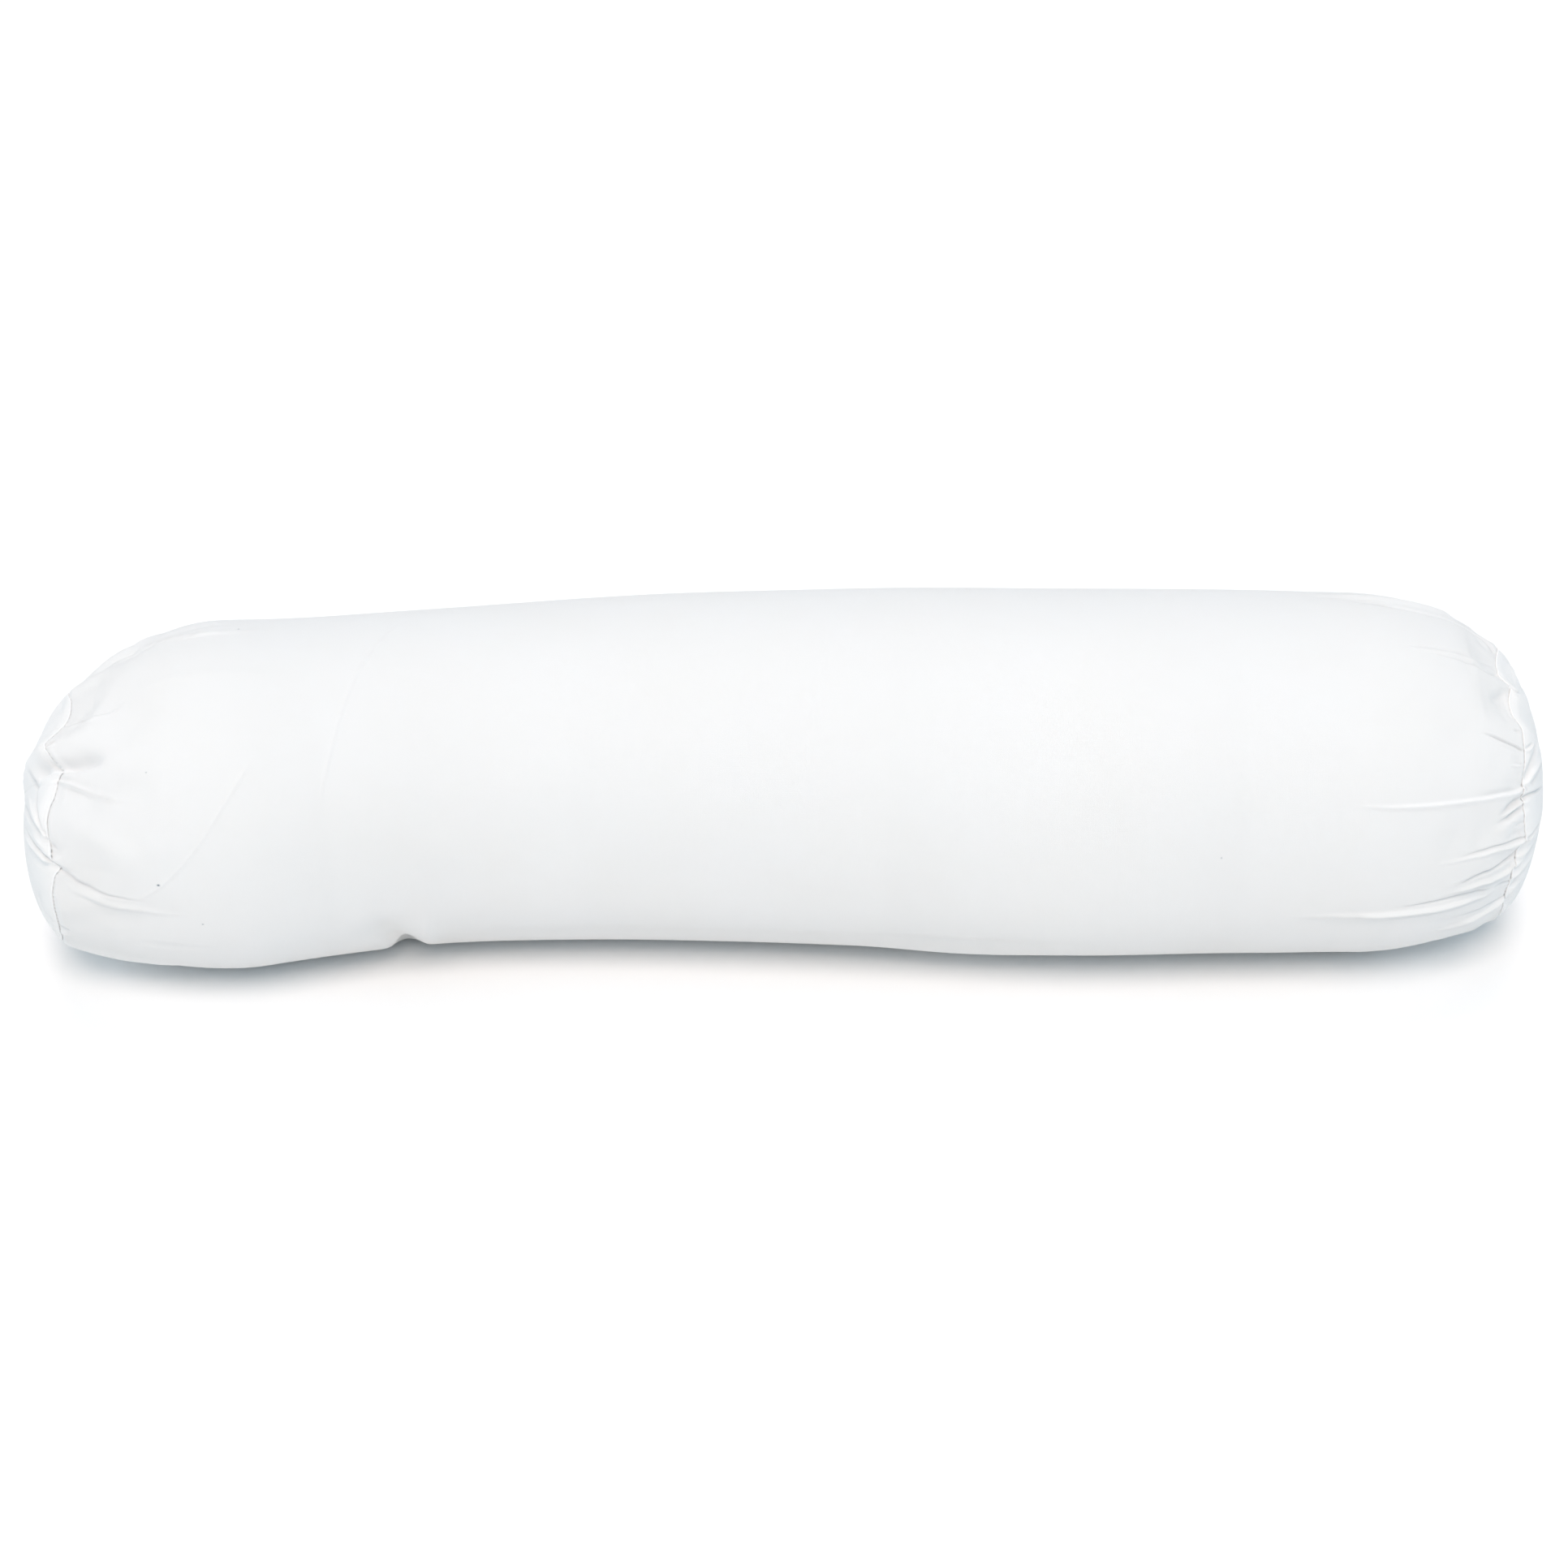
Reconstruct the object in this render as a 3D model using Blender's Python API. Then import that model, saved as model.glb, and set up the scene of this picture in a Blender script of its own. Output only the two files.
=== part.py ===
"""A body pillow: a long filled cotton bolster, lying on its side on a flat surface.

The body is a cloth tube whose two ends are gathered into round end panels. Every section
of it is an oval set on the pillow's own centre line, which bends towards the front at the
left end. The section's size, the gathers and the folds are all worked out from the sizes
and the short tables below. "Clock" is an angle round the tube as seen from the right end:
0 faces the front (-Y), 90 is the top, 180 the back and 270 the underside.
All sizes are in metres, and the surface that the pillow lies on is z = 0.
"""

import math

import bpy
import numpy as np

# Driving sizes
SEAM_REACH = 0.470  # from the middle of the pillow to the end seams, along the pillow
RING_RADIUS = {"left": 0.080, "right": 0.088}  # of the seam that holds each end panel
RING_HEIGHT = {"left": 0.101, "right": 0.102}  # of the middle of that seam
RING_LEAN = {"left": 0.11, "right": 0.05}  # how far the seam's underside stands out, per height
RING_TURN = {"left": -0.17, "right": 0.0}  # how far its back stands out, per width
PANEL_BULGE = {"left": 0.026, "right": 0.026}  # of an end panel, past its seam
PANEL_ROUNDNESS = 0.63  # 0.5 is a half ellipse and 1 a shallow dish
TAPER_REACH = {"left": 0.112, "right": 0.110}  # of the stretch that is drawn in
TAPER_ROUNDNESS = {"left": 1.9, "right": 2.3}  # 1 is a cone, and more is rounder
SINK = 0.010  # how far the round section is pressed flat by what it lies on
SINK_EASE = 0.004  # how far above the surface the flat underside has turned up into the sides
SAG = 0.025  # share by which a section is wider below its middle than above
FOLD_RISE = 0.014  # distance from the seam at which a fold has its full height
FOLD_AT_SEAM = 0.40  # share of that height which the stitches leave at the seam
GAP = 0.0004  # between the body and an end panel

# One row for each section: place along the pillow, half width, half height, and how far
# the centre line has moved to the front there.
SECTION_COLUMNS = ("along", "half_width", "half_height", "front")
SECTIONS = (
    (-0.470, 0.117, 0.112, 0.054),
    (-0.370, 0.118, 0.113, 0.032),
    (-0.310, 0.115, 0.110, 0.018),
    (-0.250, 0.114, 0.109, 0.007),
    (-0.140, 0.116, 0.111, 0.000),
    (-0.035, 0.119, 0.114, 0.001),
    (0.070, 0.122, 0.117, 0.006),
    (0.180, 0.124, 0.119, 0.014),
    (0.285, 0.123, 0.118, 0.012),
    (0.370, 0.122, 0.117, 0.012),
    (0.470, 0.121, 0.116, 0.015),
)

# One row for each main fold: the end it starts from, its clock at the seam and at its
# inner end, how far in it reaches, its width, and its height (a trough is negative).
FOLD_COLUMNS = ("end", "clock", "inner_clock", "reach", "width", "height")
FOLDS = (
    ("left", 12, -8, 0.085, 0.012, -0.0060),
    ("left", 2, -17, 0.080, 0.014, 0.0040),
    ("left", 64, 58, 0.040, 0.012, -0.0050),
    ("left", 50, 38, 0.050, 0.011, 0.0030),
    ("left", 84, 78, 0.055, 0.012, -0.0030),
    ("left", 112, 104, 0.095, 0.014, 0.0040),
    ("left", 136, 130, 0.070, 0.013, -0.0050),
    ("left", 166, 172, 0.080, 0.014, 0.0040),
    ("left", 198, 192, 0.060, 0.013, -0.0050),
    ("left", 232, 226, 0.075, 0.014, 0.0035),
    ("left", 268, 272, 0.060, 0.013, -0.0040),
    ("left", 306, 314, 0.070, 0.014, 0.0035),
    ("right", 122, 119, 0.120, 0.012, 0.0040),
    ("right", 110, 112, 0.090, 0.011, -0.0040),
    ("right", 80, 80, 0.070, 0.011, 0.0030),
    ("right", 48, 52, 0.030, 0.010, -0.0035),
    ("right", 27, 25, 0.105, 0.012, 0.0035),
    ("right", 19, 19, 0.060, 0.010, -0.0030),
    ("right", 6, -2, 0.085, 0.012, 0.0035),
    ("right", -5, -10, 0.055, 0.010, -0.0040),
    ("right", -17, -17, 0.130, 0.012, 0.0040),
    ("right", -31, -33, 0.055, 0.012, -0.0035),
    ("right", 146, 150, 0.080, 0.013, -0.0045),
    ("right", 178, 172, 0.090, 0.014, 0.0040),
    ("right", 212, 216, 0.065, 0.013, -0.0045),
    ("right", 248, 244, 0.075, 0.014, 0.0035),
    ("right", 286, 290, 0.060, 0.013, -0.0040),
)

# One row for each place where the gathers pull an end seam: its clock, and how far the
# seam lies further in there than a plain ring. In between, the seam runs straight.
PULL_REACH = 0.045  # how far in from the seam the cloth goes along with it
PULL_COLUMNS = ("clock", "pull")
SEAM_PULLS = {
    "left": (
        (-38, 0.004), (-14, 0.004), (2, 0.003), (8, 0.008), (14, 0.001), (34, -0.002),
        (45, 0.003), (55, 0.007), (70, -0.008), (78, 0.001), (88, 0.005), (112, 0.000),
        (136, 0.005), (150, -0.002), (176, 0.003), (198, 0.006), (210, -0.002),
        (240, 0.001), (268, 0.005), (284, 0.000), (306, 0.004),
    ),
    "right": (
        (-30, 0.006), (-18, 0.005), (-4, 0.004), (6, -0.002), (25, 0.001), (44, 0.000),
        (57, 0.001), (66, 0.006), (74, 0.004), (82, 0.011), (92, 0.011), (122, 0.004),
        (146, 0.007), (162, 0.001), (178, 0.004), (212, 0.007), (228, 0.000),
        (248, 0.004), (270, 0.005), (286, 0.001), (306, 0.003),
    ),
}

# How finely the solids are drawn
AROUND = 72
END_ROWS = (0.0, 0.004, 0.009, 0.015, 0.022, 0.030, 0.040, 0.051, 0.063, 0.077, 0.092)
MIDDLE_ROWS = 19
PANEL_RINGS = (1.0, 0.97, 0.90, 0.78, 0.60, 0.36)

COTTON = (0.90, 0.91, 0.92, 1.0)
COTTON_ROUGHNESS = 0.85
SHARP_EDGE = math.radians(60)  # only the hidden rims between the pieces are sharper


def column(table, names, name):
    """One column of a table, as an array."""
    return np.array([row[names.index(name)] for row in table])


def smooth_between(at, places, values):
    """A smooth curve through the values, with each slope taken from its neighbours."""
    slopes = np.gradient(values, places)
    after = np.clip(np.searchsorted(places, at), 1, len(places) - 1)
    before = after - 1
    gap = places[after] - places[before]
    s = (at - places[before]) / gap
    rise = values[after] - values[before]
    ease = s * s * (3 - 2 * s)
    lead = s * (1 - s) * (1 - s) * gap * slopes[before]
    trail = s * s * (1 - s) * gap * slopes[after]
    return values[before] + ease * rise + lead - trail


def of_section(along, name):
    places = column(SECTIONS, SECTION_COLUMNS, "along")
    return smooth_between(along, places, column(SECTIONS, SECTION_COLUMNS, name))


def by_end(along, sizes):
    """The size that holds at each place, from a pair given for the two ends."""
    return np.where(along < 0, sizes["left"], sizes["right"])


def drawn_in(along):
    """1 on the full stretch of the pillow, easing to 0 at the end seams."""
    inside = (SEAM_REACH - np.abs(along)) / by_end(along, TAPER_REACH)
    return 1 - (1 - np.clip(inside, 0, 1)) ** by_end(along, TAPER_ROUNDNESS)


def turned_between(clock, middle):
    """The angle from one clock to another, in radians, the short way round."""
    return (clock - middle + math.pi) % (2 * math.pi) - math.pi


def fold_relief(along, clock):
    """How far the folds raise or sink the cloth. Each one widens and fades as it runs in."""
    relief = np.zeros(np.broadcast(along, clock).shape)
    inside = SEAM_REACH - np.abs(along)
    held = FOLD_AT_SEAM + (1 - FOLD_AT_SEAM) * np.clip(inside / FOLD_RISE, 0, 1)
    for end, start, inner, reach, width, height in FOLDS:
        run = np.clip(inside / reach, 0, 1)
        middle = np.radians(start + (inner - start) * run)
        spread = width * (0.6 + 0.7 * run)
        across = turned_between(clock, middle) * RING_RADIUS[end] / spread
        fade = np.cos(run * math.pi / 2) ** 1.5
        here = (along < 0) == (end == "left")
        relief += np.where(here, height * held * fade * np.exp(-across * across), 0)
    return relief


def seam_pull(along, clock):
    """How far the gathers draw the cloth in from a plain end."""
    near = np.clip(1 - (SEAM_REACH - np.abs(along)) / PULL_REACH, 0, 1)
    pull = {}
    for end, table in SEAM_PULLS.items():
        places = np.radians(column(table, PULL_COLUMNS, "clock"))
        pulls = column(table, PULL_COLUMNS, "pull")
        pull[end] = np.interp(clock, places, pulls, period=2 * math.pi)
    return by_end(along, pull) * near * near * (3 - 2 * near)


def pressed_flat(height):
    """Heights with everything below the surface brought up to it, and a soft turn."""
    soft = (height + SINK_EASE) ** 2 / (4 * SINK_EASE)
    return np.where(height > SINK_EASE, height, np.where(height < -SINK_EASE, 0, soft))


def centre_line(along):
    """The centre line's front offset and its turn, in radians."""
    step = 0.002
    front = of_section(along, "front")
    turn = np.arctan2(front - of_section(along + step, "front"), step)
    return front, turn


def body_points(along, clock):
    """Points of the cloth tube."""
    full = drawn_in(along)
    ring, height = by_end(along, RING_RADIUS), by_end(along, RING_HEIGHT)
    half_width = ring + (of_section(along, "half_width") - ring) * full
    half_height = ring + (of_section(along, "half_height") - ring) * full
    middle = height + (of_section(along, "half_height") - SINK - height) * full
    relief = fold_relief(along, clock)
    across = (half_width * (1 - SAG * full * np.sin(clock)) + relief) * -np.cos(clock)
    up = pressed_flat(middle + (half_height + relief) * np.sin(clock))
    front, turn = centre_line(along)
    tilt = by_end(along, RING_TURN) * across - by_end(along, RING_LEAN) * (up - middle)
    tilt = (1 - full) * tilt - seam_pull(along, clock)
    along = along + np.sign(along) * tilt
    x = along - across * np.sin(turn)
    y = across * np.cos(turn) - front
    return np.stack(np.broadcast_arrays(x, y, up), axis=-1)


def clocks():
    return np.arange(AROUND) * 2 * math.pi / AROUND


def body_rows():
    """Places of the body's sections: close together where the cloth is gathered."""
    ends = np.array(END_ROWS)
    middle_reach = SEAM_REACH - 0.110
    middle = np.linspace(-middle_reach, middle_reach, MIDDLE_ROWS)
    return np.concatenate([ends - SEAM_REACH, middle, SEAM_REACH - ends[::-1]])


def seam_ring(end):
    """The seam's points, its middle, and the direction in which the panel bulges."""
    side = -1 if end == "left" else 1
    ring = body_points(np.array([side * SEAM_REACH]), clocks())
    middle = ring.mean(axis=0)
    following = np.roll(ring, -1, axis=0)
    outwards = -side * np.cross(ring - middle, following - middle).sum(axis=0)
    return ring, middle, outwards / np.linalg.norm(outwards)


def cotton(name):
    material = bpy.data.materials.get(name) or bpy.data.materials.new(name)
    material.use_nodes = True
    finish = material.node_tree.nodes["Principled BSDF"]
    finish.inputs["Base Color"].default_value = COTTON
    finish.inputs["Roughness"].default_value = COTTON_ROUGHNESS
    finish.inputs["Metallic"].default_value = 0.0
    return material


def add_piece(name, points, faces, material):
    mesh = bpy.data.meshes.new(name)
    mesh.from_pydata(points.tolist(), [], faces)
    mesh.validate()
    mesh.shade_smooth()
    mesh.set_sharp_from_angle(angle=SHARP_EDGE)
    mesh.materials.append(cotton(material))
    piece = bpy.data.objects.new(name, mesh)
    bpy.context.collection.objects.link(piece)
    return piece


def band_faces(first, second, flip=False):
    """Quads between two rings of vertices that start at the given indices."""
    faces = []
    for i in range(AROUND):
        j = (i + 1) % AROUND
        face = (first + i, first + j, second + j, second + i)
        faces.append(face[::-1] if flip else face)
    return faces


def fan_faces(ring, middle, flip=False):
    """Triangles from a ring of vertices to one in its middle."""
    faces = []
    for i in range(AROUND):
        face = (ring + i, ring + (i + 1) % AROUND, middle)
        faces.append(face[::-1] if flip else face)
    return faces


def make_body():
    rows = body_rows()
    grid = body_points(rows[:, None], clocks()[None, :])
    points = [grid.reshape(-1, 3)]
    for end in ("left", "right"):
        points.append(seam_ring(end)[1][None, :])
    faces = []
    for row in range(len(rows) - 1):
        faces += band_faces(row * AROUND, (row + 1) * AROUND, flip=True)
    count = len(rows) * AROUND
    faces += fan_faces(0, count)
    faces += fan_faces(count - AROUND, count + 1, flip=True)
    return add_piece("body", np.concatenate(points), faces, "body_cotton")


def make_end_panel(end):
    """A domed round panel whose flat back lies against the body's end."""
    ring, middle, outwards = seam_ring(end)
    spokes = ring - middle
    standing = (spokes @ outwards)[:, None] * outwards
    rings = []
    for share in PANEL_RINGS:
        bulge = PANEL_BULGE[end] * (1 - share * share) ** PANEL_ROUNDNESS
        dished = (spokes - standing) * share + standing * share**3
        rings.append(middle + dished + outwards * (bulge + GAP))
    pole = middle + outwards * (PANEL_BULGE[end] + GAP)
    back = middle + outwards * GAP
    flip = end == "left"
    faces = []
    for i in range(len(rings) - 1):
        faces += band_faces(i * AROUND, (i + 1) * AROUND, flip=not flip)
    count = len(rings) * AROUND
    faces += fan_faces(count - AROUND, count, flip=not flip)
    faces += fan_faces(0, count + 1, flip=flip)
    points = np.concatenate([*rings, pole[None, :], back[None, :]])
    return add_piece(f"end_panel_{end}", points, faces, "end_panel_cotton")


def set_on_origin(pieces):
    """Moves the pieces so that the middle of their box's underside is the origin."""
    corners = np.array([v.co for piece in pieces for v in piece.data.vertices])
    middle = (corners.min(axis=0) + corners.max(axis=0)) / 2
    for piece in pieces:
        for vertex in piece.data.vertices:
            vertex.co.x -= middle[0]
            vertex.co.y -= middle[1]


def main():
    for old in list(bpy.data.objects):
        bpy.data.objects.remove(old, do_unlink=True)
    pieces = [make_body(), make_end_panel("left"), make_end_panel("right")]
    set_on_origin(pieces)


main()
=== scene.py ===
"""The finish of a body pillow: a long bolster of fine white cotton, filled and lying on its side.

The cloth repeats the sizes of the solids. On them come the puckers that the filling's pressure
gives, then the folds that fan out from the end seams, each placed one by one, and the seams.
"Clock" is an angle round the pillow as seen from its right end: 0 faces the front (-Y), 90 is the
top, 180 the back and 270 the underside. "Inside" is the distance along the cloth from an end seam.
Sizes are in metres unless a name or a heading says millimetres, and the surface is z = 0.
"""

import math

import bpy
import numpy as np
from mathutils import Matrix, Vector


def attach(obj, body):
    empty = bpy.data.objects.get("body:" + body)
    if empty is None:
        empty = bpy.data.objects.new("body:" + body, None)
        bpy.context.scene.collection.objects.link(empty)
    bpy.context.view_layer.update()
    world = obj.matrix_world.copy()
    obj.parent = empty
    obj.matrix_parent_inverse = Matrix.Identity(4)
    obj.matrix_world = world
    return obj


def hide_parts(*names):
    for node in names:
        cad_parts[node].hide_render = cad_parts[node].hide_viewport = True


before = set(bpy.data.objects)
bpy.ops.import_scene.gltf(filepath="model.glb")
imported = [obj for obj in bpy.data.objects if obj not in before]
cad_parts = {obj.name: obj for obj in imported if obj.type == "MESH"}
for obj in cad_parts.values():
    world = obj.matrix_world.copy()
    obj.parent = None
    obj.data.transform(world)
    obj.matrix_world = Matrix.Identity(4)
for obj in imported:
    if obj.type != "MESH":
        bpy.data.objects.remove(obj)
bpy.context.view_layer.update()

MM = 0.001
TINY = 1e-12  # the least length that anything is divided by

# ---------------------------------------------------------------- the pillow's own sizes

ENDS = ("left", "right")
SEAM_REACH = 0.470  # from the middle of the pillow to the end seams, along the pillow
RING_RADIUS = {"left": 0.080, "right": 0.088}  # of the seam that holds each end panel
RING_HEIGHT = {"left": 0.101, "right": 0.102}  # of the middle of that seam
RING_LEAN = {"left": 0.11, "right": 0.05}  # how far the seam's underside stands out, per height
RING_TURN = {"left": -0.17, "right": 0.0}  # how far its back stands out, per width
PANEL_BULGE = {"left": 0.028, "right": 0.028}  # of an end panel, past its seam
PANEL_ROUNDNESS = 0.63  # 0.5 is a half ellipse and 1 a shallow dish
TAPER_REACH = {"left": 0.112, "right": 0.110}  # of the stretch that is drawn in
TAPER_ROUNDNESS = {"left": 1.9, "right": 2.3}  # 1 is a cone, and more is rounder
SINK = 0.010  # how far the round section is pressed flat by what it lies on
SINK_EASE = 0.004  # how far above the surface the flat underside has turned up into the sides
SAG = 0.025  # share by which a section is wider below its middle than above
RING_STEPS = 72  # points that give the middle and the direction of an end seam
TURN_STEP = 0.002  # the stretch over which the turn of the centre line is measured

# One row for each section: place along the pillow, half width, half height, and how far
# the centre line has moved to the front there.
SECTION_COLUMNS = ("along", "half_width", "half_height", "front")
SECTIONS = (
    (-0.470, 0.117, 0.112, 0.054),
    (-0.370, 0.118, 0.113, 0.032),
    (-0.310, 0.115, 0.110, 0.018),
    (-0.250, 0.114, 0.109, 0.007),
    (-0.140, 0.116, 0.111, 0.000),
    (-0.035, 0.119, 0.114, 0.001),
    (0.070, 0.122, 0.117, 0.006),
    (0.180, 0.124, 0.119, 0.014),
    (0.285, 0.123, 0.118, 0.012),
    (0.370, 0.122, 0.117, 0.012),
    (0.470, 0.121, 0.116, 0.015),
)

# One row for each place where the gathers pull an end seam: its clock, and how far the seam
# lies further in there than a plain ring, in mm. In between, the seam runs straight.
PULL_REACH = 0.045  # how far in from the seam the cloth goes along with it
CORNER_ROUNDING = math.radians(1.0)  # of the corners that they make
CORNER_SAMPLES = 9  # places over which a corner is rounded
PULL_COLUMNS = ("clock", "pull")
SEAM_PULLS = {
    "left": (
        (-60, 4.2), (-44, 4.2), (-28, 3.9), (-23, 3.6), (-16, 2.9), (-12, 2.5), (-7, 2.4), (-3, 2.1),
        (1, 2.5), (6, 3.4), (8.5, 5.6),
        (10.2, 7.6), (12.9, 2.0), (15.6, 1.2), (19.6, 0.4), (23.4, -0.6), (27.8, -1.6), (31.6, -2.4),
        (34.3, -2.1), (37.3, -1.4), (40, -0.4), (41.8, 0.8), (44.8, 1.8), (47.8, 2.5), (50.7, 3.0),
        (52.4, 3.5), (53.2, 4.8), (54.2, 5.6), (55.5, 4.2), (58.2, 0.6), (61.4, -3.0), (64.9, -6.2),
        (68.1, -8.8), (70.2, -8.2), (72.4, -5.8), (75.4, -2.5), (78.6, 0.3), (81.1, 2.4), (83.9, 3.6),
        (89, 4.6), (98, 5.0), (112, 0.0), (136, 5.0), (150, -2.0), (176, 3.0), (198, 6.0),
        (210, -2.0), (240, 1.0), (268, 5.0), (284, 3.0),
    ),
    "right": (
        (-60, 4.0), (-42, 6.5), (-23, 8.8), (-17, 8.2), (-12, 6.8), (-5, 6.8), (-1, 5.6), (2.4, 5.8),
        (5.4, 3.4), (8.3, 0.0), (11, 0.0), (14, 0.6), (17.4, 1.4), (20.6, 2.0), (26.8, 2.8),
        (30.6, 2.6), (32.8, 3.3), (35, 2.6), (37.5, 1.9), (40.3, 1.2), (43.3, 0.7), (48, 0.8),
        (54, 1.0), (56.2, 1.2), (58, 2.4), (59.7, 4.0), (61.7, 6.0), (63.9, 7.0), (67.2, 7.5),
        (70.4, 7.0), (73.4, 5.5), (76.1, 4.5), (78.4, 6.0), (80.9, 9.5), (83.6, 12.0), (85.8, 13.0),
        (91.8, 13.5), (101, 11.5), (110, 10.0), (122, 4.0), (146, 7.0), (162, 1.0), (178, 4.0),
        (212, 7.0), (228, 0.0), (248, 4.0), (270, 5.0), (286, 2.0),
    ),
}

# How far the stitches of an end seam stand open, from 0 to 1, by clock.
OPENING_COLUMNS = ("clock", "open")
SEAM_OPENINGS = {
    "left": (
        (-50, 0.5), (-40, 0.9), (-28, 1.0), (-22, 0.7), (-12, 0.55), (-4, 0.4), (5, 0.25), (8, 0.7),
        (9.6, 1.4), (10.6, 1.2), (11.6, 0.2), (13, 0.3), (16, 0.75), (19, 0.6), (23, 0.3), (30, 0.15),
        (38, 0.15), (41, 0.6), (43, 0.25), (46, 0.35), (49.4, 0.4), (50.4, 0.9), (51.6, 0.3),
        (53, 0.4), (54.8, 0.9), (63, 0.85), (66, 0.2), (69, 0.3), (72, 0.15), (75, 0.45), (77, 0.15),
        (82, 0.3), (90, 0.3), (160, 0.5), (200, 0.3), (260, 0.4),
    ),
    "right": (
        (-46, 0.8), (-30, 1.0), (-22, 1.0), (-16, 0.5), (-10, 0.6), (-3, 0.2), (1, 0.9), (3, 0.3),
        (5, 0.7), (8, 0.4), (9.6, 0.7), (12, 0.15), (19, 0.2), (20.4, 0.6), (22, 0.2), (24, 0.5),
        (26.4, 1.4), (28.2, 1.2), (29.4, 0.3), (31.4, 0.9), (33.4, 0.2), (36.4, 0.6), (38, 0.15),
        (41.5, 0.6), (43.5, 0.15), (47.6, 0.5), (50, 0.1), (54, 0.3), (58, 0.1), (70, 0.15),
        (74, 0.3), (78, 0.0), (100, 0.1), (130, 0.3), (200, 0.5), (260, 0.4),
    ),
}
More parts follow.
